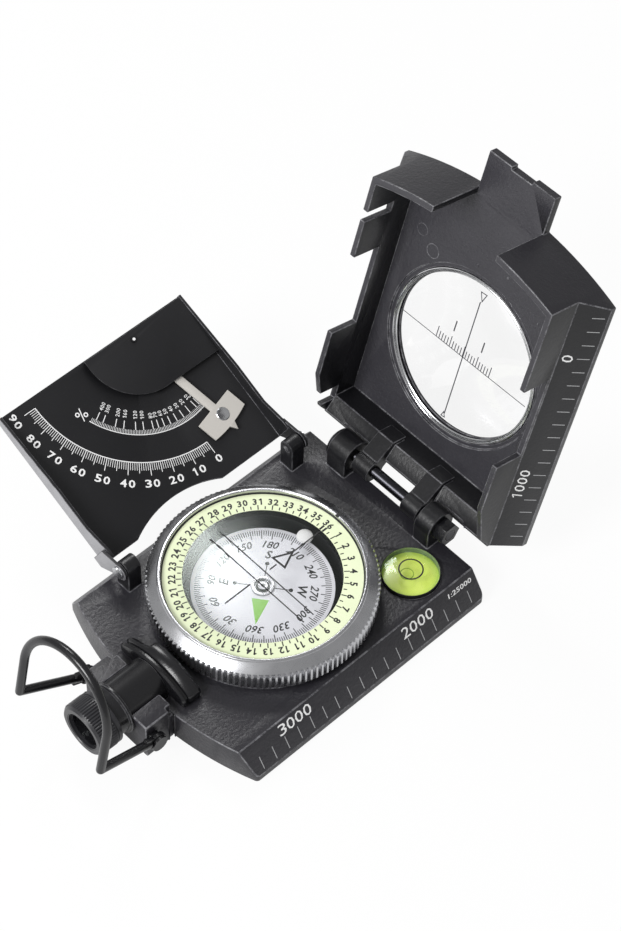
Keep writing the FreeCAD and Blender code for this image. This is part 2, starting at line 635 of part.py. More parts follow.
def lid_casting():
    lid = lid_body("lid_casting")
    outside = lid_plan(end_radius, base_half, lid_start)
    pad(lid, "XY", lid_face, lid_lip, lambda drawing: outline(drawing, outside))
    inside = lid_plan(end_radius - end_wall, lid_inner, wall_crease)
    cut(lid, "XY", lid_inside, lid_lip, lambda drawing: outline(drawing, inside))
    slope = -lid_slope_start
    for side in (1, -1):
        corners = [(side * deck_half, lid_lip), (side * deck_half, slope),
                   (side * base_half, slope - slope_drop), (side * base_half, lid_lip)]
        cut(lid, "YZ", lid_start, lid_reach, lambda drawing: outline(drawing, corners))
    ridge = [(lid_start, lid_lip), (lid_start, -edge_drop), (wall_edge, -edge_drop),
             (wall_ridge, -ridge_drop), (wall_crease, lid_inside), (wall_crease, lid_lip)]
    cut(lid, "XZ", -lid_inner, lid_inner, lambda drawing: outline(drawing, ridge))
    flap = [(lid_start, lid_lip), (lid_start, -flap_foot_drop - fit_gap), (flap_foot, -flap_foot_drop),
            (flap_knee, -flap_knee_drop), (flap_full, lid_lip)]
    cut(lid, "XZ", -deck_half, deck_half, lambda drawing: outline(drawing, flap))
    cut(lid, "XZ", -deck_half, deck_half,
        lambda drawing: box(drawing, grip_start, grip_end, -grip_depth, lid_lip))
    cut(lid, "YZ", lid_reach - end_wall - end_wall, lid_reach,
        lambda drawing: box(drawing, -end_gap, end_gap, lid_inside, lid_lip))
    thumb_tab(lid)
    hinge_arms(lid)
    clinometer_slots(lid)
    lens_seat(lid)


def thumb_tab(lid):
    root = lid_reach - end_wall
    corners = [(root, -tab_half), (tab_reach, -tab_half), (tab_reach, -notch_half),
               (tab_reach - notch_depth, -notch_half), (tab_reach - notch_depth, notch_half),
               (tab_reach, notch_half), (tab_reach, tab_half), (root, tab_half)]
    pad(lid, "XY", lid_face, lid_inside, lambda drawing: outline(drawing, corners))


def hinge_arms(lid):
    """Room for the barrels of the base, and the two arms that ride on the pin."""
    room = lug_radius + fit_gap
    left = head_end + fit_gap
    right = lug_right + nut_length + fit_gap
    for low, high in ((lug_inner - fit_gap, left), (-right, -lug_inner + fit_gap)):
        cut(lid, "XZ", low, high, lambda drawing: circle(drawing, 0, 0, room))
    shape = [(0, knuckle_radius), (0, -knuckle_radius), (arm_root, -arm_foot), (arm_root, -arm_top)]
    for low, high in ((arm_inner, arm_outer), (-arm_outer, -arm_inner)):
        pad(lid, "XZ", low, high, lambda drawing: outline(drawing, shape))
        pad(lid, "XZ", low, high, lambda drawing: circle(drawing, 0, 0, knuckle_radius))
        cut(lid, "XZ", low, high, lambda drawing: circle(drawing, 0, 0, pin_radius + running_gap))


def clinometer_slots(lid):
    """Slots that let the lid shut while the clinometer plate is out."""
    far = hinge_x + plate_left
    near = hinge_x - plate_right
    ear = fit_gap + plate_thickness + slot_gap
    spans = ((far - slot_gap, far + ear_step_left + ear),
             (near - ear_step_right - ear - slot_sweep, near + slot_gap + slot_sweep))
    for low, high in spans:
        cut(lid, "XZ", lid_inner, deck_half, lambda drawing: box(drawing, low, high, -slot_depth, lid_lip))


def lens_seat(lid):
    steps = ((lens_hole, lid_face), (lens_radius + running_gap, lid_face + lens_ledge),
             (lens_rim, lid_inside - ring_height))
    for radius, low in steps:
        cut(lid, "XY", low, lid_inside, lambda drawing: circle(drawing, lens_centre, 0, radius))


def lid_window():
    seat = lid_face + lens_ledge
    top = seat + lens_thickness
    lens = lid_body("lid_lens")
    pad(lens, "XY", seat, top, lambda drawing: circle(drawing, lens_centre, 0, lens_radius))
    ring = lid_body("lens_ring")
    pad(ring, "XY", top, top + ring_height, lambda drawing: circle(drawing, lens_centre, 0, lens_radius))
    cut(ring, "XY", top, top + ring_height, lambda drawing: circle(drawing, lens_centre, 0, ring_inner))


def fold_body(label):
    """A body in the clinometer's own frame: Y away from its hinge, Z out of its printed face."""
    return body(label, 0, fold_y, base_height + fold_rise, (1, 0, 0), fold_angle)


def clinometer_plate():
    plate = fold_body("clinometer_plate")
    left = -plate_left - plate_thickness
    right = plate_right + plate_thickness
    corners = [(left, plate_near), (-bay_start, plate_near, -bay_radius), (bay_end, plate_near),
               (right, plate_near), (right, plate_far), (left, plate_far)]
    pad(plate, "XY", plate_back, plate_face, lambda drawing: outline(drawing, corners))
    top = plate_face + flange_mid
    flange = [(plate_near, plate_back), (plate_far, plate_back), (plate_far, plate_face + flange_far),
              (flange_bend, top), (flange_step, top), (flange_knee, plate_face + flange_near),
              (plate_near, plate_face + flange_near)]
    pad(plate, "YZ", left, -plate_left, lambda drawing: outline(drawing, flange))
    pad(plate, "YZ", plate_right, right, lambda drawing: outline(drawing, flange))
    ear_left = -plate_left - ear_step_left - fit_gap
    ear_right = plate_right + ear_step_right + fit_gap
    shape = [(0, -ear_radius), (plate_near, plate_back), (ear_root, plate_back),
             (ear_root, -ear_root_drop), (0, ear_radius)]
    webs = ((ear_left - plate_thickness, -plate_left), (plate_right, ear_right + plate_thickness))
    ears = ((ear_left - plate_thickness, ear_left), (ear_right, ear_right + plate_thickness))
    for web, ear in zip(webs, ears):
        pad(plate, "YZ", *web, lambda drawing: box(
            drawing, plate_near, plate_near + web_length, plate_back, plate_face + flange_near))
        pad(plate, "YZ", *ear, lambda drawing: outline(drawing, shape))
        pad(plate, "YZ", *ear, lambda drawing: circle(drawing, 0, 0, ear_radius))
        cut(plate, "YZ", *ear, lambda drawing: circle(drawing, 0, 0, fold_pin_radius + running_gap))
    cut(plate, "XY", plate_back, plate_face,
        lambda drawing: circle(drawing, pivot_x, pivot_v, rivet_radius + running_gap))


def fold_pins():
    axis = base_height + fold_rise
    sides = (("left", -90, plate_left + ear_step_left), ("right", 90, plate_right + ear_step_right))
    for side, turn, boss_end in sides:
        pin = body(f"clinometer_pin_{side}", 0, fold_y, axis, (0, 1, 0), turn)
        head = boss_end + fit_gap + plate_thickness + running_gap
        rod(pin, fold_pin_radius, boss_end - boss_length, head)
        pad(pin, "XY", head, head + fold_head_height,
            lambda drawing: circle(drawing, 0, 0, fold_head_radius))


def clinometer_cover():
    cover = fold_body("clinometer_cover")
    roof = plate_face + cover_height
    left = pivot_x - cover_radius
    right = plate_right - running_gap
    near = pivot_v - cover_radius
    shape = [(left, cover_far), (left, pivot_v, cover_radius), (pivot_x, near), (right, near),
             (right, cover_far)]
    pad(cover, "XY", roof - cover_wall, roof, lambda drawing: outline(drawing, shape))
    pad(cover, "XY", plate_face, roof,
        lambda drawing: box(drawing, left, right, cover_far - cover_wall, cover_far))
    pad(cover, "XY", plate_face, roof,
        lambda drawing: box(drawing, right - cover_wall, right, near, cover_far))
    cut(cover, "XY", roof - cover_wall, roof,
        lambda drawing: circle(drawing, pivot_x, pivot_v, rivet_radius + running_gap))
    rivet = fold_body("pendulum_rivet")
    pad(rivet, "XY", plate_back, roof + cover_wall,
        lambda drawing: circle(drawing, pivot_x, pivot_v, rivet_radius))


def pendulum():
    swinging = fold_body("pendulum")
    low = plate_face + pendulum_lift
    high = low + pendulum_thickness
    corner = side_of(weight_end, weight_half)
    shoulder = side_of(weight_end, tip_half)
    shape = [(0, -stem_half), (weight_start, -stem_half), (weight_start, -weight_half),
             (corner, -weight_half, weight_end), (shoulder, -tip_half), (pointer_reach, 0),
             (shoulder, tip_half, weight_end), (corner, weight_half), (weight_start, weight_half),
             (weight_start, stem_half), (0, stem_half)]
    blade = sketch(swinging, "XY", pivot_x, pivot_v, low, angle=pendulum_lean - 90)
    outline(blade, shape)
    extrude(swinging, "Pad", blade, high - low)
    pad(swinging, "XY", low, high, lambda drawing: circle(drawing, pivot_x, pivot_v, pendulum_hub))
    cut(swinging, "XY", low, high,
        lambda drawing: circle(drawing, pivot_x, pivot_v, rivet_radius + running_gap))


def prism_housing():
    housing = body("prism_housing", z=base_height)
    step = -housing_near - housing_step
    arch = [(-housing_half, 0), (housing_half, 0), (housing_half, housing_side, housing_curve),
            (-housing_half, housing_side)]
    pad(housing, "YZ", -housing_far, step, lambda drawing: outline(drawing, arch))
    rise = side_of(housing_curve, housing_split) - side_of(housing_curve, housing_half)
    lobe = [(-housing_half, 0), (housing_split, 0), (housing_split, housing_side + rise, housing_curve),
            (-housing_half, housing_side)]
    pad(housing, "YZ", step, -housing_near, lambda drawing: outline(drawing, lobe))
    back = -housing_near - prism_length
    cut(housing, "YZ", back, -housing_near,
        lambda drawing: box(drawing, -prism_half, prism_half, prism_foot, prism_height))
    prism = body("prism", z=base_height)
    gap = running_gap
    pad(prism, "YZ", back + gap, -housing_near - gap, lambda drawing: box(
        drawing, -prism_half + gap, prism_half - gap, prism_foot, prism_height - gap))


def eyepiece_block():
    block = body("eyepiece_block")
    seat = -base_front + block_land
    neck = seat - neck_length
    top = base_height + block_top
    pad(block, "YZ", -block_far, neck, lambda drawing: box(drawing, -block_half, block_half, block_foot, top))
    pad(block, "YZ", neck, seat,
        lambda drawing: box(drawing, -block_half + fit_gap, block_half - fit_gap, block_foot, base_height))
    pad(block, "YZ", neck, seat, lambda drawing: box(drawing, -neck_half, neck_half, base_height, top))
    cut(block, "YZ", -block_far, seat,
        lambda drawing: circle(drawing, 0, barrel_z, barrel_radius + running_gap))
    for low, high in ((block_half - screw_depth, block_half), (-block_half, screw_depth - block_half)):
        cut(block, "XZ", low, high, lambda drawing: circle(
            drawing, -bail_x, base_height - bail_drop, screw_radius + running_gap))


def eyepiece_body(label):
    """A body whose Z runs outwards along the eyepiece axis."""
    return body(label, 0, 0, barrel_z, (0, 1, 0), -90)


def eyepiece():
    barrel = eyepiece_body("eyepiece_barrel")
    collar = block_far + collar_length
    turned(barrel, [(barrel_bore, housing_far), (barrel_radius, housing_far), (barrel_radius, block_far),
                    (collar_radius, block_far), (collar_radius, collar), (barrel_radius, collar),
                    (barrel_radius, barrel_far), (barrel_bore, barrel_far)])
    ring = eyepiece_body("focus_ring")
    lip = focus_far - focus_lip
    sleeve = barrel_radius + running_gap
    turned(ring, [(sleeve, focus_near), (focus_radius, focus_near), (focus_radius, focus_far),
                  (focus_hole, focus_far), (focus_hole, lip), (sleeve, lip)])
    cell = eyepiece_body("lens_cell")
    outside = barrel_bore - running_gap
    tube(cell, outside - cell_wall, outside, lip - cell_length, lip)
    lens = eyepiece_body("eye_lens")
    edge = outside - cell_wall - running_gap
    face = lip - eye_lens_inset
    bulge = eye_lens_curve - side_of(eye_lens_curve, edge)
    turned(lens, [(0, face - eye_lens), (edge, face - eye_lens), (edge, face, eye_lens_curve),
                  (0, face + bulge)])


def pipe(owner, profile, path):
    feature = owner.newObject("PartDesign::AdditivePipe", f"{owner.Name}_wire")
    feature.Profile = profile
    feature.Spine = path


def wire_bail():
    bail = body("wire_bail", -bail_x, 0, base_height - bail_drop, (0, 1, 0), bail_angle + half_turn)
    section = sketch(bail, "YZ", bail_wide, 0, bail_arm, (1, 0, 0), bail_bend_angle)
    circle(section, 0, 0, bail_wire)
    arch = sketch(bail, "XY", bail_arm, 0, 0, (0, 1, 0), bail_bend_angle)
    outline(arch, [(0, bail_wide), (bail_leg, bail_wide, -bail_wide), (bail_leg + bail_wide, 0, -bail_wide),
                   (bail_leg, -bail_wide), (0, -bail_wide)], closed=False)
    pipe(bail, section, arch)
    for side in (1, -1):
        corner = bail.newObject("PartDesign::AdditiveSphere", "corner")
        corner.AttachmentSupport = section.AttachmentSupport
        corner.MapMode = "FlatFace"
        put(corner, "AttachmentOffset", side * bail_wide, 0, bail_arm, (0, 0, 1), 0)
        corner.Radius = number(bail_wire)
        corner.setExpression("Radius", bail_wire.text)
        root = screw_head + fit_gap
        start = sketch(bail, "YZ", side * bail_narrow, 0, root)
        circle(start, 0, 0, bail_wire)
        arm = sketch(bail, "XY")
        outline(arm, [(root, side * bail_narrow), (bail_arm, side * bail_wide)], closed=False)
        pipe(bail, start, arm)
        low = side * bail_narrow - eye_half
        high = side * bail_narrow + eye_half
        pad(bail, "XZ", low, high,
            lambda drawing: box(drawing, 0, tongue_length, -tongue_half, tongue_half))
        pad(bail, "XZ", low, high, lambda drawing: circle(drawing, 0, 0, eye_radius))
        cut(bail, "XZ", low - eye_half, high + eye_half,
            lambda drawing: circle(drawing, 0, 0, screw_radius + running_gap))


def bail_screws():
    for side, turn in (("left", -90), ("right", 90)):
        screw = body(f"bail_screw_{side}", -bail_x, 0, base_height - bail_drop, (1, 0, 0), turn)
        step = bail_narrow - eye_half - running_gap
        head = bail_narrow + eye_half + running_gap
        start = block_half - screw_depth
        turned(screw, [(0, start), (screw_radius, start), (screw_radius, block_half),
                       (shoulder_radius, block_half), (shoulder_radius, step), (screw_radius, step),
                       (screw_radius, head), (screw_head, head), (screw_head, head + screw_height),
                       (0, head + screw_height)])


def finish():
    doc.recompute()
    for thing in doc.Objects:
        if {"Invalid", "Error"} & set(thing.State):
            raise RuntimeError(f"{thing.Name} is {thing.State}")
    for made in bodies:
        for feature in made.Group:
            check_step(feature)
        if made.Shape.isNull() or not made.Shape.isValid() or len(made.Shape.Solids) != 1:
            raise RuntimeError(f"{made.Label} is not one valid solid")
    os.makedirs("parts", exist_ok=True)
    for made in bodies:
        made.Shape.exportStep(f"parts/{made.Label}.step")


def check_step(feature):
    """A cut must take something away and a pad must add something."""
    before = getattr(feature, "BaseFeature", None)
    if before is None or "Fillet" in feature.TypeId or "Chamfer" in feature.TypeId:
        return
    change = feature.Shape.Volume - before.Shape.Volume
    takes = feature.TypeId in ("PartDesign::Pocket", "PartDesign::Groove")
    if (change > -0.01) if takes else (change < 0.01):
        raise RuntimeError(f"{feature.Name} changes nothing")


for piece in (base_casting, capsule_bowl, pivot_post, compass_card, bezel, level, hinge_pin, lid_casting,
              lid_window, clinometer_plate, fold_pins, clinometer_cover, pendulum, prism_housing,
              eyepiece_block, eyepiece, wire_bail, bail_screws):
    piece()
finish()
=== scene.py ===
import json
import math

import bpy
from mathutils import Matrix, Vector

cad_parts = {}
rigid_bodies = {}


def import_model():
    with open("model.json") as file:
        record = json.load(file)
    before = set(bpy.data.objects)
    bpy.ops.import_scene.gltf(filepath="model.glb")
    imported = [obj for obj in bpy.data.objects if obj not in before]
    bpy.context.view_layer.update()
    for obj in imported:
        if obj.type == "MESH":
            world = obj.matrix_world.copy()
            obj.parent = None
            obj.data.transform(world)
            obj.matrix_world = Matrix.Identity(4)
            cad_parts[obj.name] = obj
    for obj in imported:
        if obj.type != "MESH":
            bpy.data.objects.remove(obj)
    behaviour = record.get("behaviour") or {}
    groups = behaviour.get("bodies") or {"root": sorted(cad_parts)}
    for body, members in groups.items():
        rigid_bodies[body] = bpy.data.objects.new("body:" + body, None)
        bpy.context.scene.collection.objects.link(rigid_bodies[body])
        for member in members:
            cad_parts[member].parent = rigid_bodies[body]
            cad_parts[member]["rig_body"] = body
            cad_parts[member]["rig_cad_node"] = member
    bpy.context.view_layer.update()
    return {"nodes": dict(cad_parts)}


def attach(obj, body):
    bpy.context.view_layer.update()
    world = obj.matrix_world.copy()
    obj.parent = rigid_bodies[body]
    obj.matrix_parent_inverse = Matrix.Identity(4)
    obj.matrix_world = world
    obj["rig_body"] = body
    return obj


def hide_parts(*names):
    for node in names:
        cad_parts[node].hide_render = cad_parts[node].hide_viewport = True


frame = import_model()
nodes = frame["nodes"]
bpy.ops.object.select_all(action="DESELECT")
print("frame loaded with", len(nodes), "nodes")

mm = 0.001
flat = Matrix.Identity(4)
inkThick = 0.03  # mm, how far print stands off its surface
mergeGap = 0.0005  # mm, points closer than this become one


# places
def moved(x, y, z=0.0):  # mm
    return Matrix.Translation((x * mm, y * mm, z * mm))


def swung(degrees, axis):
    return Matrix.Rotation(math.radians(degrees), 4, axis)


def at(x, y, z=0.0, turn=0.0, base=flat):  # mm and degrees in the base's own plane
    return base @ moved(x, y, z) @ swung(turn, "Z")


def around(radius, angle, z=0.0, base=flat, outward=True):  # on a circle, with its top outward or inward
    a = math.radians(angle)
    turn = angle - 90 if outward else angle + 90
    return at(radius * math.cos(a), radius * math.sin(a), z, turn, base)


# the lid and the clinometer stand at their open angles, so their details are laid out flat and then turned
lidHinge = {"axis": (42.53, 0, 14.01), "open": -73.8}
clinoHinge = {"axis": (0, 24.3, 16.2), "open": 27.5}
lidPlace = moved(*lidHinge["axis"]) @ swung(lidHinge["open"], "Y")
clinoPlace = moved(*clinoHinge["axis"]) @ swung(clinoHinge["open"], "X")


# working with objects
def pick(*objs):  # these alone are selected, the first is active
    bpy.ops.object.select_all(action="DESELECT")
    for obj in objs:
        obj.select_set(True)
    bpy.context.view_layer.objects.active = objs[0]


def here():
    return bpy.context.view_layer.objects.active


def onMesh(obj, work):  # runs one edit-mode job on a whole mesh
    pick(obj)
    bpy.ops.object.mode_set(mode="EDIT")
    bpy.ops.mesh.select_all(action="SELECT")
    work()
    bpy.ops.object.mode_set(mode="OBJECT")


def chosen(obj, test):  # goes into edit mode with the vertices that pass the test selected
    pick(obj)
    bpy.ops.object.mode_set(mode="EDIT")
    bpy.ops.mesh.select_mode(type="VERT")
    bpy.ops.mesh.select_all(action="DESELECT")
    bpy.ops.object.mode_set(mode="OBJECT")
    for vertex in obj.data.vertices:
        vertex.select = test(vertex.co)
    bpy.ops.object.mode_set(mode="EDIT")


def scaledThere(obj, test, size, centre=(0, 0, 0)):  # scales the vertices that pass the test
    chosen(obj, test)
    bpy.ops.transform.resize(value=size, center_override=centre)
    bpy.ops.object.mode_set(mode="OBJECT")
    return obj


def raised(thick):  # pulls what is selected up along Z, in mm
    bpy.ops.mesh.extrude_region_move(TRANSFORM_OT_translate={"value": (0, 0, thick * mm)})


def settle(obj, place=flat):  # bakes the object's own place into its mesh, then lays it on the part
    obj.data.transform(place @ obj.matrix_world)
    obj.matrix_world = flat
    return obj


def named(obj, name):
    obj.name = name
    obj.data.name = name
    return obj


def shaped(obj, kind, **values):
    pick(obj)
    modifier = obj.modifiers.new(kind.title(), kind)
    for key, value in values.items():
        setattr(modifier, key, value)
    bpy.ops.object.modifier_apply(modifier=modifier.name)
    return obj


def smooth(obj, angle=30):
    pick(obj)
    bpy.ops.object.shade_smooth_by_angle(angle=math.radians(angle))
    return obj


def joined(name, pieces):
    pick(*pieces)
    bpy.ops.object.join()
    return named(here(), name)


def laid(model, places):  # one model, copied to each place
    pieces = []
    for place in places:
        pick(model)
        bpy.ops.object.duplicate()
        pieces.append(settle(here(), place))
    bpy.data.objects.remove(model)
    return pieces


def dressed(obj, *finishes):
    obj.data.materials.clear()
    for finish in finishes:
        obj.data.materials.append(finish)
    return obj


def painted(obj, finish, test, over=0):  # gives the faces that pass the test another finish
    obj.data.materials.append(finish)
    index = len(obj.data.materials) - 1
    for face in obj.data.polygons:
        if face.material_index == over and test(face.center, face.normal):
            face.material_index = index
    return obj


def fit(obj, body, finish, stands=()):
    if finish:
        dressed(obj, finish)
    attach(obj, body)
    if stands:
        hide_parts(*stands)
    return obj


def bodyOf(node):
    return nodes[node]["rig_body"]


# shapes to start from, in mm
def closed(obj):  # merged, swept of loose bits, faces outward
    onMesh(obj, lambda: (
        bpy.ops.mesh.remove_doubles(threshold=mergeGap * mm),
        bpy.ops.mesh.delete_loose(),
        bpy.ops.mesh.select_all(action="SELECT"),
        bpy.ops.mesh.normals_make_consistent(inside=False),
    ))
    return obj


def spun(obj, steps, degrees):  # round the upright axis
    onMesh(obj, lambda: bpy.ops.mesh.spin(
        steps=steps, angle=math.radians(degrees), center=(0, 0, 0), axis=(0, 0, 1)))
    return obj


def turned(name, outline, steps=96, place=flat):  # a loop of (radius, height), spun round its axis
    bpy.ops.mesh.primitive_circle_add(vertices=len(outline), radius=mm)
    obj = named(here(), name)
    for vertex, (radius, height) in zip(obj.data.vertices, outline):
        vertex.co = (radius * mm, 0, height * mm)
    return settle(closed(spun(obj, steps, 360)), place)


def lathed(name, smoothing=30, **cut):
    return smooth(turned(name, **cut), smoothing)


def knurled(obj, columns, size, radius, low=-math.inf, high=math.inf):  # lets every third column in
    pitch = math.tau / columns

    def valley(spot):
        if math.hypot(spot.x, spot.y) < radius * mm or not low * mm < spot.z < high * mm:
            return False
        return round(math.atan2(spot.y, spot.x) / pitch) % 3 == 0
    return scaledThere(obj, valley, (size, size, 1))


def bar(width, length, thick=inkThick, middle=True):  # a flat bar along Y, from the centre or from its foot
    bpy.ops.mesh.primitive_plane_add(size=mm)
    obj = here()
    if not middle:
        obj.data.transform(moved(0, 0.5))
    onMesh(obj, lambda: (
        bpy.ops.transform.resize(value=(width, length, 1), center_override=(0, 0, 0)),
        raised(thick),
    ))
    return closed(obj)


def dot(radius, thick=inkThick, points=20):
    bpy.ops.mesh.primitive_circle_add(vertices=points, radius=radius * mm, fill_type="NGON")
    obj = here()
    onMesh(obj, lambda: raised(thick))
    return closed(obj)


def polygon(corners):
    bpy.ops.mesh.primitive_circle_add(vertices=len(corners), radius=mm, fill_type="NGON")
    obj = here()
    for vertex, (x, y) in zip(obj.data.vertices, corners):
        vertex.co = (x * mm, y * mm, 0)
    return obj


def outlined(corners, width):  # an open outline through corners, such as a triangle
    obj = polygon(corners)
    onMesh(obj, lambda: (
        bpy.ops.mesh.inset(thickness=width * mm, depth=0),
        bpy.ops.mesh.delete(type="FACE"),
        bpy.ops.mesh.select_all(action="SELECT"),
        raised(inkThick),
    ))
    return closed(obj)


def arc(radius, width, start, end, steps=48):  # degrees, centred on the origin
    bpy.ops.mesh.primitive_plane_add(size=mm)
    obj = here()
    for vertex in obj.data.vertices:
        side, top = vertex.co.x > 0, vertex.co.y > 0
        vertex.co = ((radius + (0.5 if side else -0.5) * width) * mm, 0, inkThick * mm if top else 0)
    spun(obj, steps, start - end)
    obj.data.transform(swung(start, "Z"))
    return closed(obj)


def stamp(text, height, bold=0.0, slant=0.0, width=None):  # centred on the origin, standing along Y
    bpy.ops.object.text_add()
    label = here()
    label.data.body = text
    label.data.offset = bold
    label.data.shear = slant
    label.data.extrude = 0.01
    label.data.resolution_u = 2
    bpy.ops.object.convert(target="MESH")
    label = here()
    spots = [vertex.co for vertex in label.data.vertices]
    low = Vector(min(s[i] for s in spots) for i in range(3))
    high = Vector(max(s[i] for s in spots) for i in range(3))
    scale = height * mm / (high.y - low.y)
    across = width * mm / (high.x - low.x) if width else scale
    sizes = Matrix.Diagonal((across, scale, inkThick * mm / (high.z - low.z), 1))
    centred = Matrix.Translation((-(low.x + high.x) / 2, -(low.y + high.y) / 2, -low.z))
    label.data.transform(sizes @ centred)
    return closed(label)


# a plain one is a stem and a flag, in shares of the number's height or stroke
oneShape = {"stem": 0.08, "flag": (-0.06, 0.36), "flagTurn": -52, "flagWidth": 0.9, "flagLength": 0.34}


def figures(text, height, stroke, advance, slant=0.0, width=None, bold=0.0):
    pieces = []
    lean = Matrix.Identity(4)
    lean[0][1] = slant
    for spot, sign in enumerate(text):
        x = (spot - (len(text) - 1) / 2) * advance * height
        if sign == "1":
            stem = bar(stroke, height)
            pieces += laid(stem, [at(x + oneShape["stem"] * height, 0) @ lean])
            flag = bar(stroke * oneShape["flagWidth"], oneShape["flagLength"] * height)
            side, up = oneShape["flag"]
            pieces += laid(flag, [at(x + side * height, up * height, 0, oneShape["flagTurn"]) @ lean])
        else:
            pieces += laid(stamp(sign, height, bold, slant, width), [at(x, 0)])
    return joined("figures", pieces)


# shader sums
class Wire:
    def __init__(self, socket):
        self.socket = socket
        self.tree = socket.id_data

    def node(self, kind, settings=None, inputs=None, output=0):
        made = self.tree.nodes.new("ShaderNode" + kind)
        for key, value in (settings or {}).items():
            if key == "stops":
                ramp = made.color_ramp
                while len(ramp.elements) < len(value):
                    ramp.elements.new(1.0)
                for element, (spot, colour) in zip(ramp.elements, value):
                    element.position = spot
                    element.color = colour
            else:
                setattr(made, key, value)
        for key, value in (inputs or {}).items():
            if isinstance(value, Wire):
                self.tree.links.new(value.socket, made.inputs[key])
            else:
                made.inputs[key].default_value = value
        return Wire(made.outputs[output]) if made.outputs else None

    def beside(self, output):  # another output of the same node
        return Wire(self.socket.node.outputs[output])

    def sum(self, operation, first, second=0.0):
        return self.node("Math", {"operation": operation}, {0: first, 1: second})

    def most(self, other):
        return self.sum("MAXIMUM", self, other)

    def __add__(self, other):
        return self.sum("ADD", self, other)

    def __radd__(self, other):
        return self.sum("ADD", other, self)

    def __sub__(self, other):
        return self.sum("SUBTRACT", self, other)

    def __rsub__(self, other):
        return self.sum("SUBTRACT", other, self)

    def __mul__(self, other):
        return self.sum("MULTIPLY", self, other)

    def __rmul__(self, other):
        return self.sum("MULTIPLY", other, self)

    def __gt__(self, other):
        return self.sum("GREATER_THAN", self, other)

    def __lt__(self, other):
        return self.sum("LESS_THAN", self, other)

    def noise(self, size, detail=3.0, rough=0.55):  # size in mm
        values = {"Vector": self, "Scale": 1 / (size * mm), "Detail": detail, "Roughness": rough}
        return self.node("TexNoise", None, values)

    def blend(self, factor, first, second):
        return self.node("Mix", {"data_type": "RGBA"}, {0: factor, 6: first, 7: second}, 2)

    def ramp(self, low, high):  # black up to low, white from high
        return self.node("ValToRGB", {"stops": ((low, grey(0)), (high, grey(1)))}, {0: self})

    def part(self, axis):  # x, y or z of a vector
        return self.node("SeparateXYZ", None, {0: self}, "xyz".index(axis))

    def fromAxis(self, x=0.0, y=0.0):  # mm from an upright axis
        level = self.node("VectorMath", {"operation": "MULTIPLY"}, {0: self, 1: (1, 1, 0)})
        level = level.node("VectorMath", {"operation": "SUBTRACT"}, {0: level, 1: (x * mm, y * mm, 0)})
        return level.node("VectorMath", {"operation": "LENGTH"}, {0: level}, 1) * (1 / mm)

    def bump(self, height, depth):  # depth in mm
        return self.node("Bump", None, {"Strength": 1.0, "Distance": depth * mm, "Height": height})


def grey(value):
    return (value, value, value, 1.0)


def tone(red, green, blue):  # display colour to the shader's own
    return tuple(((c / 255 + 0.055) / 1.055) ** 2.4 for c in (red, green, blue)) + (1.0,)


def finishNamed(name, build):
    material = bpy.data.materials.new(name)
    material.use_nodes = True
    tree = material.node_tree
    tree.nodes.clear()
    place = Wire(tree.nodes.new("ShaderNodeTexCoord").outputs["Object"])
    surface = place.node("BsdfPrincipled", None, build(place))
    place.node("OutputMaterial", None, {"Surface": surface})
    return material


def paintLike(low, high, rough, grain, depth, wave=0.0):
    def build(p):
        fine = p.noise(grain, detail=4.0, rough=0.6)
        broad = p.noise(9.0, detail=2.0)
        specks = p.noise(0.22, detail=2.0).ramp(0.68, 0.78)
        colour = p.blend(broad * 0.7 + fine * 0.3, low, high)
        return {
            "Base Color": p.blend(specks * 0.18, colour, tone(120, 120, 124)),
            "Roughness": rough - 0.08 + fine * 0.12 + broad * 0.06,
            "Specular IOR Level": 0.5,
            "Normal": p.bump(fine + broad * wave, depth),
        }
    return build


def metalLike(low, high, rough, grain=0.3, depth=0.004):
    def build(p):
        fine = p.noise(grain, detail=4.0, rough=0.6)
        cloud = p.noise(4.0)
        return {
            "Base Color": p.blend(cloud, low, high),
            "Metallic": 1.0,
            "Roughness": rough - 0.05 + fine * 0.08 + cloud * 0.06,
            "Normal": p.bump(fine, depth),
        }
    return build


def inkLike(low, high, rough=0.5):
    def build(p):
        wear = p.noise(0.15, rough=0.7)
        return {
            "Base Color": p.blend(wear, low, high),
            "Roughness": rough - 0.05 + wear * 0.1,
            "Normal": p.bump(wear, 0.003),
        }
    return build


# a thin mirror that is nearly clear when seen square on, and not there at all below a height
def glassLike(tint, strength, clear, rough=0.02, above=-1000.0):
    def build(p):
        smear = p.noise(6.0, detail=2.0)
        edge = p.node("LayerWeight", None, {"Blend": 0.32})
        shows = p.part("z") > above * mm
        return {
            "Base Color": tint,
            "Metallic": 1.0,
            "Roughness": rough + smear * 0.02,
            "Alpha": (edge * strength + clear + smear * 0.015) * shows,
        }
    return build


def edgeLike(low, high, bare):  # paint rubbed thin along a corner in patches, as wear, and a lighter edge colour all along as painted highlight
    def build(p):
        fine = p.noise(0.3, detail=4.0, rough=0.65)
        run = p.noise(3.0, rough=0.6)
        rubbed = (fine * 0.45 + run * 0.55).ramp(0.42, 0.62)
        return {
            "Base Color": p.blend(rubbed * 0.75, p.blend(fine, low, high), bare),
            "Roughness": 0.4 - rubbed * 0.08,
            "Normal": p.bump(fine, 0.006),
        }
    return build


hubLook = {"groove": (1.15, 1.75), "hole": 0.45, "dark": tone(34, 34, 36), "rough": 0.16}


def hubFinish(p):  # bright boss and rim, with painted shade in the groove between them and in the centre hole
    reach = p.fromAxis()
    inner, outer = hubLook["groove"]
    groove = (reach > inner) * (reach < outer)
    hole = reach < hubLook["hole"]
    cloud = p.noise(1.0)
    bright = p.blend(cloud, tone(138, 138, 142), tone(190, 190, 194))
    return {
        "Base Color": p.blend(groove.most(hole), bright, hubLook["dark"]),
        "Metallic": 1 - groove,
        "Roughness": hubLook["rough"] + cloud * 0.08,
        "Normal": p.bump(cloud, 0.004),
    }


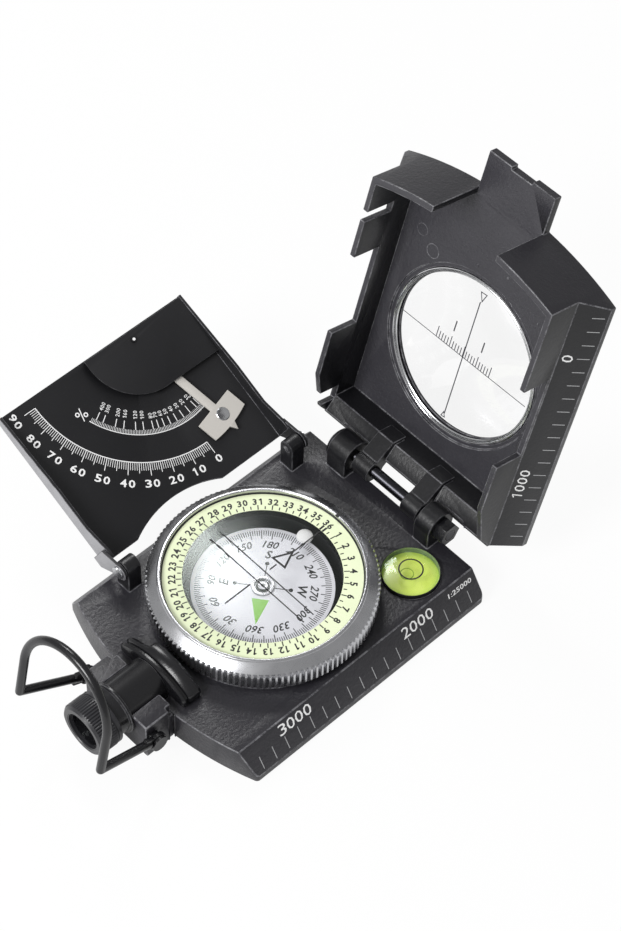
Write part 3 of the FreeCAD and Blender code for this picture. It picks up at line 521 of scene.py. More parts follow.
lumeLook = {"from": 18.9, "above": 17.3, "black": tone(20, 20, 22), "grain": tone(238, 245, 216)}


def dialFace(p):  # luminous band, black elsewhere
    band = (p.fromAxis() > lumeLook["from"]) * (p.part("z") > lumeLook["above"] * mm)
    grain = p.noise(0.12, rough=0.7)
    cloud = p.noise(7.0, detail=2.0)
    glow = p.blend(cloud, tone(220, 231, 188), tone(236, 243, 208))
    glow = p.blend(grain * 0.25, glow, lumeLook["grain"])
    return {
        "Base Color": p.blend(band, lumeLook["black"], glow),
        "Roughness": 0.36 + band * 0.26,
        "Normal": p.bump(grain, 0.006),
    }


levelLook = {"centre": (30.2, -19.5), "wall": 7.03, "floor": 7.3}


def cupFinish(p):  # black outside, smoky plastic inside
    inside = (p.fromAxis(*levelLook["centre"]) < levelLook["wall"]) * (p.part("z") > levelLook["floor"] * mm)
    cloud = p.noise(2.0)
    smoke = p.blend(cloud, tone(96, 118, 92), tone(132, 150, 122))
    return {
        "Base Color": p.blend(inside, tone(20, 20, 21), smoke),
        "Roughness": 0.24 + cloud * 0.1,
        "Normal": p.bump(cloud, 0.004),
    }


def liquidFinish(p):  # lime, a little deeper towards the wall
    swirl = p.noise(3.0, rough=0.6)
    rim = (p.fromAxis(*levelLook["centre"]) * 0.1 + swirl * 0.1).ramp(0.56, 0.78)
    lime = p.blend(swirl, tone(228, 255, 104), tone(240, 255, 134))
    return {
        "Base Color": p.blend(rim * 0.6, lime, tone(176, 222, 92)),
        "Roughness": 0.2 + swirl * 0.1,
        "Normal": p.bump(swirl, 0.01),
    }


def mixed(name, like, **values):  # colours are given as a display shows them
    values = {key: tone(*value) if isinstance(value, tuple) else value for key, value in values.items()}
    return finishNamed(name, like(**values))


# what the painted castings share, sizes in mm
castSkin = {"grain": 0.9, "depth": 0.13, "wave": 0.5}
blackPaint = mixed("blackPaint", paintLike, low=(30, 29, 34), high=(46, 45, 50), rough=0.35, **castSkin)
# a lighter copy of blackPaint: painted light on the lid's wide inner face
litPaint = mixed("litPaint", paintLike, low=(46, 45, 50), high=(62, 61, 66), rough=0.35, **castSkin)
# a darker, slightly smoother copy of the paint: painted shade on the lid's slope, low wall and hinge arms,
# and on the base's hinge arms
shadedSmoothPaint = mixed("shadedSmoothPaint", paintLike, low=(14, 14, 17), high=(25, 25, 28), rough=0.33,
                    grain=0.9, depth=0.06, wave=0.5)
satinPaint = mixed("satinPaint", paintLike, low=(16, 16, 19), high=(24, 24, 27), rough=0.5,
                   grain=0.2, depth=0.008)
glossBlack = mixed("glossBlack", paintLike, low=(14, 14, 16), high=(26, 26, 29), rough=0.24,
                   grain=0.4, depth=0.012, wave=0.5)
gripPlastic = mixed("gripPlastic", paintLike, low=(34, 34, 37), high=(48, 48, 51), rough=0.34,
                    grain=0.2, depth=0.008, wave=0.4)
darkWall = mixed("darkWall", paintLike, low=(26, 26, 29), high=(40, 40, 43), rough=0.32,
                 grain=0.2, depth=0.006)
# edges a little lighter than the paint all along, as painted highlight, with rubbed wear in patches
edgePaint = mixed("edgePaint", edgeLike, low=(40, 39, 44), high=(64, 63, 68), bare=(146, 146, 150))
edgeGloss = mixed("edgeGloss", edgeLike, low=(22, 22, 25), high=(40, 40, 43), bare=(100, 100, 103))
lightWingMetal = mixed("lightWingMetal", metalLike, low=(166, 166, 169), high=(192, 192, 195), rough=0.45,
                  grain=0.4, depth=0.006)
polishedSteel = mixed("polishedSteel", metalLike, low=(196, 198, 200), high=(222, 222, 224), rough=0.2)
darkSteel = mixed("darkSteel", metalLike, low=(78, 78, 82), high=(104, 104, 108), rough=0.24)
gunSteel = mixed("gunSteel", metalLike, low=(50, 50, 54), high=(72, 72, 76), rough=0.3)
rimMetal = mixed("rimMetal", metalLike, low=(178, 179, 182), high=(206, 206, 209), rough=0.26)
chrome = mixed("chrome", metalLike, low=(205, 205, 208), high=(228, 228, 230), rough=0.1, depth=0.002)
nickel = mixed("nickel", inkLike, low=(196, 192, 186), high=(212, 208, 202), rough=0.34)
blueSteel = mixed("blueSteel", metalLike, low=(70, 72, 80), high=(92, 94, 100), rough=0.35)
yellowBrass = mixed("yellowBrass", metalLike, low=(190, 158, 90), high=(206, 176, 110), rough=0.3)
paperWhite = mixed("paperWhite", inkLike, low=(236, 236, 243), high=(243, 243, 249))
blackInk = mixed("blackInk", inkLike, low=(16, 16, 18), high=(30, 30, 32))
greyInk = mixed("greyInk", inkLike, low=(56, 56, 62), high=(76, 76, 82))
# white print; the same white also makes the painted highlights on the rivet and the air bubble
whitePrintAndHighlight = mixed("whitePrintAndHighlight", inkLike, low=(240, 240, 240), high=(250, 250, 250), rough=0.55)
paleInk = mixed("paleInk", inkLike, low=(150, 150, 152), high=(190, 190, 192), rough=0.55)
bubbleGreen = mixed("bubbleGreen", inkLike, low=(128, 166, 40), high=(158, 194, 66), rough=0.3)
greenInk = mixed("greenInk", inkLike, low=(128, 196, 66), high=(150, 212, 90))
lumeFace = finishNamed("lumeFace", dialFace)
smokyCup = finishNamed("smokyCup", cupFinish)
limeLiquid = finishNamed("limeLiquid", liquidFinish)
clearGlass = mixed("clearGlass", glassLike, tint=(240, 246, 244), strength=0.22, clear=0.015)
capGlass = mixed("capGlass", glassLike, tint=(232, 246, 224), strength=0.12, clear=0.008, rough=0.05)
dialGlassFinish = mixed("dialGlassFinish", glassLike, tint=(236, 244, 240), strength=0.34, clear=0.03,
                        rough=0.06, above=15.8)
lensGlass = mixed("lensGlass", glassLike, tint=(250, 250, 252), strength=0.05, clear=0.004)
hubMetal = finishNamed("hubMetal", hubFinish)
print("finishes mixed")


# castings: the CAD shape with its edges broken and rubbed
edgeBreak = {  # node: (piece name, edge radius mm, finish, edge finish, slot)
    "base_casting": ("baseBody", 0.24, blackPaint, edgePaint, "black_paint"),
    "lid_casting": ("lidBody", 0.21, blackPaint, edgePaint, "black_paint"),
    "clinometer_plate": ("clinometerPlate", 0.12, satinPaint, edgePaint, "black_paint"),
    "clinometer_cover": ("clinometerCover", 0.08, satinPaint, edgeGloss, "black_paint"),
    "prism_housing": ("prismHousing", 0.8, glossBlack, glossBlack, "black_paint"),
    "eyepiece_block": ("eyepieceBlock", 0.35, blackPaint, edgePaint, "black_paint"),
    "eyepiece_barrel": ("eyepieceBarrel", 0.22, glossBlack, edgeGloss, "black_paint"),
    "pendulum": ("pendulumBob", 0.06, nickel, nickel, "steel"),
    "hinge_nut": ("hingeNut", 0.1, glossBlack, glossBlack, "blued_steel"),
    "hinge_pin": ("hingePin", 0.12, gunSteel, darkSteel, "steel"),
    "wire_bail": ("wireBail", 0.15, glossBlack, glossBlack, "black_paint"),
}
edgeWork = {"merge": 0.0004, "flat": 0.6, "segments": 2, "sharper": 32, "smooth": 26}  # mm and degrees
archGroove = {"low": -33.9, "high": -33.3, "slope": 0.35, "deck": 9.2, "size": (1, 0.94, 0.84)}  # mm
paintZones = {  # mm along the part's own axes
    "wing": -22.4, "deck": 9.5, "baseArms": 34, "brackets": 20, "lidFace": 20,
    # rubbed marks where the lid's edges take the darker edge finish, as painted shade by the hinge arms
    "lidArms": (47, 24), "hingeWall": 30, "rubbed": (46, 20),
}


def broken(node, name, radius, finish, edge):
    pick(nodes[node])
    bpy.ops.object.duplicate()
    obj = named(here(), name)
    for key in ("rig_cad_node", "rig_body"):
        if key in obj:
            del obj[key]
    obj.parent = None
    dressed(obj, finish, edge)
    onMesh(obj, lambda: (
        bpy.ops.mesh.remove_doubles(threshold=edgeWork["merge"] * mm),
        bpy.ops.mesh.dissolve_limited(angle_limit=math.radians(edgeWork["flat"])),
    ))
    shaped(obj, "BEVEL", width=radius * mm, segments=edgeWork["segments"], limit_method="ANGLE",
           angle_limit=math.radians(edgeWork["sharper"]), offset_type="OFFSET",
           use_clamp_overlap=False, miter_outer="MITER_ARC", material=1)
    return smooth(obj, edgeWork["smooth"])


def grooved(obj, low, high, slope, deck, size, margin=0.05):  # a groove across X, sunk towards the deck
    for x in (low - slope, low, high, high + slope):
        onMesh(obj, lambda: bpy.ops.mesh.bisect(plane_co=(x * mm, 0, 0), plane_no=(1, 0, 0)))

    def isFloor(spot):
        return (low - margin) * mm < spot.x < (high + margin) * mm and spot.z > (deck + 2 * margin) * mm
    scaledThere(obj, isFloor, size, (0, 0, deck * mm))
    return smooth(obj)


def repainted(piece, node):  # parts of a casting that are not painted like the rest
    zone = paintZones
    if node == "clinometer_plate":  # the folded wing's outer face gets a light grey metal finish
        painted(piece, lightWingMetal, lambda spot, way: way.x < -0.7 and spot.x < zone["wing"] * mm)
    if node == "base_casting":  # hinge arms and brackets are smoother than the deck, and darker as painted shade
        def isArm(spot, way):
            beyond = spot.x > zone["baseArms"] * mm or spot.y > zone["brackets"] * mm
            return spot.z > zone["deck"] * mm and beyond
        painted(piece, shadedSmoothPaint, isArm)
        painted(piece, edgeGloss, isArm, 1)
    if node == "lid_casting":  # painted light and shade: the wide inner face, which catches more light, gets a lighter copy of the paint, while the slope, the low wall and the hinge arms get a darker copy and darker edges
        def isSmooth(spot, way):
            slope = way.y < -0.6 and way.x < 0.3
            wall = way.z > 0.45 and spot.z < zone["hingeWall"] * mm
            return slope or wall or (spot.x < zone["lidArms"][0] * mm and spot.z < zone["lidArms"][1] * mm)

        def isRubbed(spot, way):
            return spot.x < zone["rubbed"][0] * mm and spot.z < zone["rubbed"][1] * mm
        painted(piece, litPaint, lambda spot, way: way.x < -0.85 and spot.z > zone["lidFace"] * mm)
        painted(piece, shadedSmoothPaint, isSmooth)
        # painted shade: darker edges by the lid's hinge arms
        painted(piece, edgeGloss, isRubbed, 1)


for node, (name, radius, finish, edge, slot) in edgeBreak.items():
    piece = broken(node, name, radius, finish, edge)
    if node == "prism_housing":  # two arches
        grooved(piece, **archGroove)
    repainted(piece, node)
    fit(piece, bodyOf(node), None, (node,))
print("edges broken on", len(edgeBreak), "pieces")

plainNodes = {  # nodes whose own mesh shows, with a better finish
    # the capsule bowl is dark, partly as painted shade in the gap between the card and the dial ring
    "capsule_bowl": darkWall, "pivot_post": yellowBrass, "dial_ring": lumeFace,
    "compass_card": paperWhite, "card_cap": hubMetal, "card_magnet": blueSteel, "lid_lens": lensGlass,
    "prism": clearGlass, "bail_screw_left": glossBlack, "bail_screw_right": glossBlack,
    "clinometer_pin_left": polishedSteel, "clinometer_pin_right": polishedSteel,
    "pendulum_rivet": satinPaint, "lens_cell": glossBlack, "eye_lens": clearGlass,
}
for node, finish in plainNodes.items():
    smooth(dressed(nodes[node], finish))

# knurled rim round the dial
rimCut = {
    "teeth": 124, "toothDepth": 0.6, "toothFrom": 27.4, "smooth": 34, "mark": (0.9, 1.7, 0.04),
    "markPlace": (24.7, 0, 18.69), "outline": (
        (21.95, 11.4), (22.05, 11.3), (27.5, 11.3), (27.9, 11.7), (27.9, 15.8), (27.78, 16.05),
        (27.52, 16.3), (27.3, 16.48), (25.3, 18.2), (25.12, 18.28), (25.02, 18.5), (24.85, 18.62),
        (24.6, 18.7), (24.35, 18.68), (24.14, 18.5), (24.1, 18.3), (24.1, 14.6), (21.95, 14.6)),
}
rim = turned("knurledRim", rimCut["outline"], rimCut["teeth"] * 3)
toothFoot = 1 - rimCut["toothDepth"] / rimCut["toothFrom"]
knurled(rim, rimCut["teeth"] * 3, toothFoot, rimCut["toothFrom"])
fit(smooth(rim, rimCut["smooth"]), bodyOf("bezel_ring"), rimMetal, ("bezel_ring",))

# glass with its seal, the luminous band on it and an air bubble below it, painted white as a painted
# reflection
sealCut = {"steps": 128, "outline": (
    (23.8, 17.3), (24.06, 17.1), (24.09, 17.2), (24.09, 17.62), (23.95, 17.68), (23.8, 17.5))}
glassCut = {"steps": 128, "smoothing": 20, "outline": (
    (0, 17.35), (22.45, 17.35), (24.05, 16.2), (24.05, 15.5), (0, 15.5))}
bandCut = {"steps": 128, "outline": (
    (19.05, 17.36), (23.82, 17.36), (23.82, 17.42), (19.12, 17.42), (19.05, 17.4))}
airCut = {"steps": 40, "place": moved(16.35, 2.87), "outline": (
    (0, 15.46), (1.2, 15.4), (1.9, 15.1), (2.05, 14.7), (1.7, 14.3), (0, 14.1))}
dialBody = bodyOf("capsule_glass")
fit(lathed("glassSeal", **sealCut), dialBody, darkWall)
fit(lathed("dialGlass", **glassCut), dialBody, dialGlassFinish, ("capsule_glass",))
fit(lathed("luminousBand", **bandCut), dialBody, lumeFace)
# painted reflection: the air bubble is a white dome standing for the light it throws back
fit(lathed("airBubble", **airCut), dialBody, whitePrintAndHighlight)
notch = laid(bar(*rimCut["mark"]), [around(*rimCut["markPlace"])])[0]
notch.name = "rimMark"
fit(notch, bodyOf("bezel_ring"), blackInk)
print("rim turned and knurled")


def ringOf(tick, angles, height):  # the same tick at each angle round the dial's axis
    width, length, radius = tick
    return laid(bar(width, length), [around(radius, angle, height) for angle in angles])


# numbers and ticks of the dial, on top of its glass; a tick is its width, length and radius
dialPrint = {
    "top": 17.43, "shift": 0.56, "numbers": 21.5,
    "tens": (0.26, 1.35, 19.85), "fives": (0.26, 0.85, 19.75), "north": (0.5, 1.5, 19.8), "northSides": 1.3,
    "figures": {"height": 1.82, "stroke": 0.34, "advance": 0.78, "bold": 0.028},
}
top, shift = dialPrint["top"], dialPrint["shift"]
pieces = []
for number in range(1, 37):
    place = around(dialPrint["numbers"], shift - 10 * number, top)
    pieces += laid(figures(str(number), **dialPrint["figures"]), [place])
pieces += ringOf(dialPrint["tens"], [shift - 10 * k for k in range(1, 36)], top)
pieces += ringOf(dialPrint["fives"], [shift - 5 - 10 * k for k in range(36)], top)
pieces += ringOf(dialPrint["north"], [shift + side * dialPrint["northSides"] for side in (-1, 1)], top)
fit(joined("dialNumbers", pieces), dialBody, blackInk)

sightLines = {
    "long": (0.3, 32.4), "longAt": ((1.06, -0.05), (-2.05, -0.05)),
    "cross": 0.34, "crossRuns": ((-11.95, -3.9), (2.3, 4.5), (9.8, 18.9)), "crossSide": 0.1,
    "arrow": ((4.9, 2.5), (10.2, 0.05), (5.1, -2.25)), "arrowLine": 0.5,
}
pieces = laid(bar(*sightLines["long"]), [at(x, y, top) for x, y in sightLines["longAt"]])
for start, end in sightLines["crossRuns"]:
    place = at((start + end) / 2, sightLines["crossSide"], top, 90)
    pieces += laid(bar(sightLines["cross"], end - start), [place])
pieces += laid(outlined(sightLines["arrow"], sightLines["arrowLine"]), [at(0, 0, top)])
fit(joined("sightLines", pieces), dialBody, blackInk)

# compass card
cardPrint = {
    "top": 12.7, "turn": -141.8, "numbers": 12.3, "letters": 9.4,
    "numberStamp": {"height": 2.05, "bold": 0.014, "slant": 0.28},
    "letterStamp": {"height": 2.3, "bold": 0.02, "slant": 0.2},
    "points": (("E", 90), ("S", 180), ("W", 270)), "dot": 0.52, "dotAt": 6.75, "ray": (0.22, 3.6, 4.75),
    "tens": (0.2, 2.45, 15.12), "twos": (0.17, 1.45, 15.62),
    "arrow": ((-2.06, 3.66), (2.06, 3.66), (0, 10.9)), "arrowThick": 0.04,
}
top, turn = cardPrint["top"], cardPrint["turn"]
cardBody = bodyOf("compass_card")
pieces = []
for bearing in range(30, 361, 30):
    place = around(cardPrint["numbers"], turn - bearing, top)
    pieces += laid(stamp(str(bearing), **cardPrint["numberStamp"]), [place])
for letter, bearing in cardPrint["points"]:
    place = around(cardPrint["letters"], turn - bearing, top)
    pieces += laid(stamp(letter, **cardPrint["letterStamp"]), [place])
    pieces += laid(dot(cardPrint["dot"]), [around(cardPrint["dotAt"], turn - bearing, top)])
    pieces += ringOf(cardPrint["ray"], [turn - bearing], top)
pieces += ringOf(cardPrint["tens"], [turn - 10 * k for k in range(36)], top)
pieces += ringOf(cardPrint["twos"], [turn - 2 * k for k in range(180) if k % 5], top)
fit(joined("cardPrint", pieces), cardBody, blackInk)
north = polygon(cardPrint["arrow"])
onMesh(north, lambda: raised(cardPrint["arrowThick"]))
north.name = "northArrow"
settle(closed(north), around(0, turn, top))
fit(north, cardBody, greenInk)
print("dial and card printed")

# scale on the base's slope and on the lid's
baseScale = {
    "place": moved(0, -33, 1.96) @ swung(57, "X"), "first": -29.47, "foot": 0.95, "tick": (0.2, 3.4),
    "figures": {"height": 2.85, "stroke": 0.3, "advance": 0.92, "slant": 0.04, "width": 2.25},
    "numbers": (("3000", -17.3, 6.3), ("2000", 22.5, 6.05)),
    "label": ("1:25000", 36.9, 6.35), "stamp": {"height": 1.25, "bold": 0.01, "slant": 0.1, "width": 7.8},
}
lidScale = {
    "place": lidPlace @ moved(0, -33, -12.45) @ swung(57, "X"), "first": 4, "foot": 0.98, "tick": (0.2, 3.1),
    "figures": {"height": 2.6, "stroke": 0.32, "advance": 0.92, "slant": 0.1, "width": 2.0},
    "numbers": (("1000", 20.9, 6.3),),
    "label": ("0", 60, 6.4), "stamp": {"height": 2.8, "slant": 0.1, "width": 2.1},
}
scaleStep = {"mm": 4, "ticks": 18}
for body, scale in (("base", baseScale), ("lid", lidScale)):
    across = [scale["first"] + scaleStep["mm"] * k for k in range(scaleStep["ticks"])]
    places = [at(x, scale["foot"], 0, 0, scale["place"]) for x in across]
    ticks = laid(bar(*scale["tick"], middle=False), places)
    fit(joined(body + "Ticks", ticks), body, paleInk)
    pieces = []
    for text, x, y in scale["numbers"]:
        pieces += laid(figures(text, **scale["figures"]), [at(x, y, 0, 0, scale["place"])])
    text, x, y = scale["label"]
    pieces += laid(stamp(text, **scale["stamp"]), [at(x, y, 0, 0, scale["place"])])
    fit(joined(body + "Numbers", pieces), body, whitePrintAndHighlight)
print("slopes printed")

# clinometer scales: zero hangs straight down the plate, the scales run to the left
pendulumAxis = (17.5, 43.8)
scalePlace = clinoPlace @ moved(*pendulumAxis, -6.8)


def fromZero(radius, degrees, outward=True):
    return around(radius, -90 - degrees, 0, scalePlace, outward)


degreeScale = {
    "radius": 30.7, "line": 0.24, "run": (-180, -90), "numbers": 35.6, "drift": 0.013,
    "ticks": ((0.13, 2.0), (0.17, 2.7), (0.19, 3.3)),  # ones, fives and tens: width and length
    "figures": {"height": 2.0, "stroke": 0.4, "advance": 1.06, "width": 1.66, "bold": 0.018},
}
ones = [k for k in range(91) if k % 5]
pieces = laid(arc(degreeScale["radius"], degreeScale["line"], *degreeScale["run"]), [scalePlace])
for tick, angles in zip(degreeScale["ticks"], (ones, range(5, 91, 10), range(0, 91, 10))):
    pieces += laid(bar(*tick, middle=False), [fromZero(degreeScale["radius"], k) for k in angles])
for degrees in range(0, 91, 10):
    reach = degreeScale["numbers"] + degrees * degreeScale["drift"]
    pieces += laid(figures(str(degrees), **degreeScale["figures"]), [fromZero(reach, degrees, False)])

percentScale = {
    "radius": 23.7, "line": 0.2, "run": (-155, -75.6), "lean": 14.4,
    "fine": (0.1, 1.15), "fineAt": 23.1, "fineFrom": -14, "fineStep": 0.99, "fineCount": 80,
    "coarse": (0.2, 2.1), "coarseAt": 21.45, "numbers": 19.9, "perSign": 0.4,
    "marks": (5, 10, 20, 30, 40, 50, 60, 70, 80, 100, 120, 160, 200, 300, 400),
    "figures": {"height": 0.98, "stroke": 0.18, "advance": 0.78, "bold": 0.004},
    "sign": 2.9, "signAt": (23.4, 70.8),
}
fine = [percentScale["fineFrom"] + k * percentScale["fineStep"] for k in range(percentScale["fineCount"])]
pieces += laid(arc(percentScale["radius"], percentScale["line"], *percentScale["run"]), [scalePlace])
pieces += laid(bar(*percentScale["fine"]), [fromZero(percentScale["fineAt"], k) for k in fine])
for percent in percentScale["marks"]:
    degrees = math.degrees(math.atan(percent / 100)) - percentScale["lean"]
    pieces += laid(bar(*percentScale["coarse"]), [fromZero(percentScale["coarseAt"], degrees)])
    label = figures(str(percent), **percentScale["figures"])
    reach = percentScale["numbers"] - percentScale["perSign"] * len(str(percent))
    pieces += laid(label, [fromZero(reach, degrees, False) @ swung(90, "Z")])
sign = stamp("%", percentScale["sign"])
pieces += laid(sign, [fromZero(*percentScale["signAt"], False) @ swung(90, "Z")])
fit(joined("clinometerPrint", pieces), bodyOf("clinometer_plate"), whitePrintAndHighlight)

# painted highlight: a small white dot on the cover over the pendulum's rivet
rivetGlintCut = {"radius": 0.38, "thick": 0.06, "points": 24, "height": -4.6}
rivetGlintPlace = clinoPlace @ moved(*pendulumAxis, rivetGlintCut["height"])
rivetGlint = laid(dot(rivetGlintCut["radius"], rivetGlintCut["thick"], rivetGlintCut["points"]), [rivetGlintPlace])[0]
rivetGlint.name = "rivetPaintedHighlight"
fit(rivetGlint, bodyOf("clinometer_cover"), whitePrintAndHighlight)
dimpleCut = {"steps": 40, "place": clinoPlace @ moved(25.12, 16.34, -5.8), "outline": (
    (0, 0.02), (1.1, 0.03), (1.45, 0.12), (1.6, 0.12), (1.75, 0.0), (0, 0.0))}
fit(lathed("bobDimple", **dimpleCut), bodyOf("pendulum"), polishedSteel)
print("clinometer printed")

# sighting lens in the lid: ring, seat and hair lines
lensPlace = lidPlace @ moved(36.3, 0, 0)
lensRimCut = {"steps": 128, "place": lensPlace, "outline": (
    (21.85, -12.41), (22.3, -12.41), (22.3, -12.05), (22.2, -11.94), (22.05, -11.91), (21.92, -11.98),
    (21.85, -12.1))}
lensSeatCut = {"steps": 128, "place": lensPlace, "outline": (
    (21.1, -12.41), (21.84, -12.41), (21.84, -12.18), (21.6, -12.2), (21.45, -12.1), (21.3, -12.1),
    (21.1, -12.25))}
fit(lathed("lensRim", **lensRimCut), "lid", chrome, ("lens_ring",))
fit(lathed("lensSeat", **lensSeatCut), "lid", polishedSteel)

hairLines = {
    "height": -12.405, "sightLine": 0.24,
    "cross": ((0.2, 40.6, 36.05, -0.2, 0), (0.3, 34.6, 35.6, 0.0, 90.6)),  # width, length, place, turn
    "sights": (((55.6, 1.0), (55.8, -1.15), (52.9, -0.2)), ((17.0, 0.75), (17.2, -0.75), (18.9, 0.15))),
    "steps": 21, "stepWidth": 0.24, "long": 3.0, "short": 2.05, "foot": 36.15, "first": 8.9, "pitch": 0.87,
    "posts": (0.36, 3.1), "postsAt": ((42.3, 4.6), (42.3, -4.5)),
}
hairPlace = lidPlace @ moved(0, 0, hairLines["height"])
pieces = []
for width, length, x, y, angle in hairLines["cross"]:
    pieces += laid(bar(width, length), [at(x, y, 0, angle, hairPlace)])
for corners in hairLines["sights"]:
    pieces += laid(outlined(corners, hairLines["sightLine"]), [hairPlace])
for k in range(hairLines["steps"]):
    length = hairLines["short"] if k % 5 else hairLines["long"]
    place = at(hairLines["foot"] + length / 2, hairLines["first"] - hairLines["pitch"] * k, 0, 90, hairPlace)
    pieces += laid(bar(hairLines["stepWidth"], length), [place])
pieces += laid(bar(*hairLines["posts"]), [at(x, y, 0, 90, hairPlace) for x, y in hairLines["postsAt"]])
fit(joined("lensLines", pieces), "lid", greyInk)

castCut = {
    "floor": -11.71, "rings": ((1.7, 1.95, 0.06, 56.8, 16.6), (1.5, 1.62, 0.03, 60.1, 21.2)), "ringSteps": 32,
    "nibs": ((61.8, 3.6), (64.2, -5.2), (58.9, -16.7)), "nibSteps": 12,
    "nib": ((0, 0), (0.35, 0), (0.24, 0.14), (0, 0.2)),
}
lidFloor = lidPlace @ moved(0, 0, castCut["floor"])
marks = []
for inner, outer, high, x, y in castCut["rings"]:
    outline = ((inner, 0), (outer, 0), (outer, high), (inner, high))
    marks.append(turned("ejector", outline, castCut["ringSteps"], at(x, y, 0, 0, lidFloor)))
for x, y in castCut["nibs"]:
    marks.append(turned("nib", castCut["nib"], castCut["nibSteps"], at(x, y, 0, 0, lidFloor)))
fit(joined("castMarks", marks), "lid", edgePaint)
print("lens finished")

# knurled focusing ring on the eyepiece
gripCut = {
    "ribs": 60, "valley": 0.957, "ribsFrom": 7.0, "ribsRun": (-55.6, -51.35),
    "place": moved(0, 0, 9.6) @ swung(90, "Y"), "outline": (
        (4.9, -49.9), (6.85, -49.9), (6.95, -50.05), (6.95, -50.9), (6.7, -51.0), (6.7, -51.25),
        (7.04, -51.4), (7.04, -55.5), (6.85, -55.85), (6.6, -56.1), (6.35, -56.4), (5.2, -56.4),
        (5.1, -56.25), (4.9, -56.2)),
}
grip = turned("focusGrip", gripCut["outline"], gripCut["ribs"] * 3)
knurled(grip, gripCut["ribs"] * 3, gripCut["valley"], gripCut["ribsFrom"], *gripCut["ribsRun"])
settle(grip, gripCut["place"])
fit(smooth(grip), bodyOf("focus_ring"), gripPlastic, ("focus_ring",))

# round level: cup, lime liquid, clear cap with its black circle and the bubble
levelPlace = moved(*levelLook["centre"])
levelCuts = {  # piece: (node, finish, slot, outline)
    "levelCup": ("level_cup", smokyCup, "black_plastic", (
        (0, 4.2), (6.9, 4.2), (7.2, 4.5), (7.2, 10.1), (7.12, 10.2), (7.0, 10.15), (6.98, 7.4), (0, 7.4))),
    "limeFloat": ("level_liquid", limeLiquid, "green_liquid", (
        (0, 7.42), (6.97, 7.42), (6.97, 8.3), (6.6, 8.42), (0, 8.5))),
    "levelCap": ("level_window", capGlass, "clear_glass", (
        (0, 11.16), (3.6, 11.1), (5.6, 10.9), (6.6, 10.6), (6.97, 10.2), (6.97, 9.9), (6.8, 9.9),
        (6.5, 10.3), (5.5, 10.6), (3.5, 10.82), (0, 10.9))),
}
for name, (node, finish, slot, outline) in levelCuts.items():
    fit(smooth(turned(name, outline, place=levelPlace)), bodyOf(node), finish, (node,))
circleCut = {"steps": 64, "place": levelPlace, "outline": (
    (2.72, 11.13), (3.08, 11.12), (3.08, 11.17), (2.72, 11.18))}
fit(turned("levelCircle", **circleCut), bodyOf("level_window"), blackInk)
bubbleCut = {"steps": 40, "place": moved(29.1, -19.3), "outline": (
    (1.5, 10.0), (1.68, 9.9), (1.72, 10.05), (1.62, 10.2), (1.5, 10.15))}
fit(lathed("levelBubble", **bubbleCut), bodyOf("level_liquid"), bubbleGreen)
print("level filled")

# floor: white to the camera, softer in reflections
floorLook = {
    "size": 6.0, "gap": 0.0001, "cuts": 8, "colour": tone(236, 236, 236), "dust": tone(226, 226, 226),
    "dustSize": 40.0, "rough": 0.8, "seen": 0.93, "mirrored": 0.32,
}
bpy.ops.mesh.primitive_plane_add(size=floorLook["size"], location=(0, 0, -floorLook["gap"]))
floor = here()
floor.name = "floor"
onMesh(floor, lambda: bpy.ops.mesh.subdivide(number_cuts=floorLook["cuts"]))
paleFloor = bpy.data.materials.new("paleFloor")
paleFloor.use_nodes = True
paleFloor.node_tree.nodes.clear()
ray = Wire(paleFloor.node_tree.nodes.new("ShaderNodeLightPath").outputs["Is Camera Ray"])
direct = ray.most(ray.beside("Is Transmission Ray")) * floorLook["seen"]
seen = direct.most(ray.beside("Is Glossy Ray") * floorLook["mirrored"])
dust = ray.node("TexCoord", None, None, "Object").noise(floorLook["dustSize"])
colour = ray.blend(dust * 0.1, floorLook["colour"], floorLook["dust"])
matt = ray.node("BsdfPrincipled", None, {"Base Color": colour, "Roughness": floorLook["rough"]})
bright = ray.node("Emission", None, {"Color": grey(1), "Strength": 1.0})
ray.node("OutputMaterial", None, {"Surface": ray.node("MixShader", None, {0: seen, 1: matt, 2: bright})})
floor.data.materials.append(paleFloor)

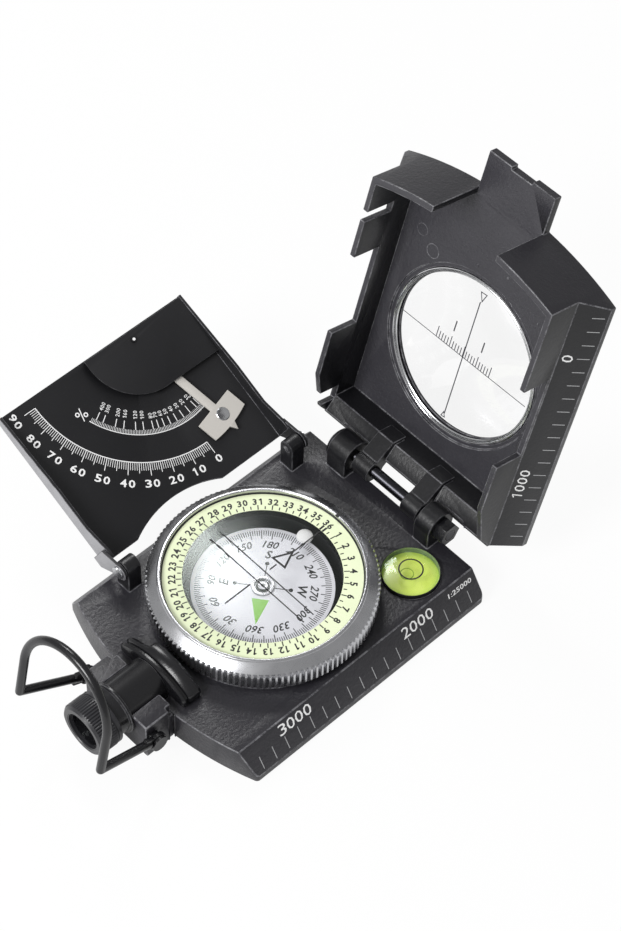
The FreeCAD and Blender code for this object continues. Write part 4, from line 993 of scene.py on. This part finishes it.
# room: white to the camera and through glass, dimmer as a light and in reflections
roomLook = {"light": 0.4, "mirrored": 0.4, "seen": 1.0}
room = bpy.data.worlds.new("softRoom")
bpy.context.scene.world = room
room.use_nodes = True
room.node_tree.nodes.clear()
ray = Wire(room.node_tree.nodes.new("ShaderNodeLightPath").outputs["Is Camera Ray"])
light, mirrored, backdrop = (
    ray.node("Background", None, {"Color": grey(1), "Strength": strength}) for strength in roomLook.values())
lit = ray.node("MixShader", None, {0: ray.beside("Is Glossy Ray"), 1: light, 2: mirrored})
seen = ray.most(ray.beside("Is Transmission Ray"))
ray.node("OutputWorld", None, {"Surface": ray.node("MixShader", None, {0: seen, 1: lit, 2: backdrop})})

dialGlassTop = (-0.0035, 0.0103, 0.0173)
lamps = {  # name: (place m, size m, watts, shape, aim m)
    "keyLamp": ((-0.75, 0.05, 0.68), 0.4, 9.0, "SQUARE", (0, 0, 0.02)),
    "skyLamp": ((0.27, 0.54, 0.666), 0.25, 2.2, "SQUARE", (0, 0, 0.02)),
    "glassSheenWide": ((0.215, 0.2556, 0.495), 0.050, 0.020, "DISK", dialGlassTop),
    "glassSheenMiddle": ((0.213, 0.2556, 0.49), 0.032, 0.010, "DISK", dialGlassTop),
    "glassSheenCore": ((0.211, 0.2536, 0.485), 0.016, 0.004, "DISK", dialGlassTop),
}
for name, (place, size, watts, shape, aim) in lamps.items():
    bpy.ops.object.light_add(type="AREA", location=place)
    lamp = here()
    lamp.name = name
    lamp.data.shape = shape
    lamp.data.size = size
    lamp.data.energy = watts
    lamp.rotation_mode = "QUATERNION"
    lamp.rotation_quaternion = (Vector(aim) - Vector(place)).to_track_quat("-Z", "Y")

eye = {  # m, the lens and sensor in mm
    "place": (-0.2484, -0.2655, 0.5393), "lens": 104.36, "sensor": 36.0, "near": 0.01,
    "right": (0.7263, -0.6871, 0.0176), "up": (0.5397, 0.5859, 0.6045), "back": (-0.4257, -0.4295, 0.7964),
}
bpy.ops.object.camera_add()
camera = here()
camera.name = "viewCamera"
camera.data.lens = eye["lens"]
camera.data.sensor_width = eye["sensor"]
camera.data.clip_start = eye["near"]
facing = Matrix((eye["right"], eye["up"], eye["back"])).transposed().to_4x4()
camera.matrix_world = Matrix.Translation(eye["place"]) @ facing
bpy.context.scene.camera = camera
bpy.context.scene.view_settings.view_transform = "Standard"
print("floor, light and camera set")
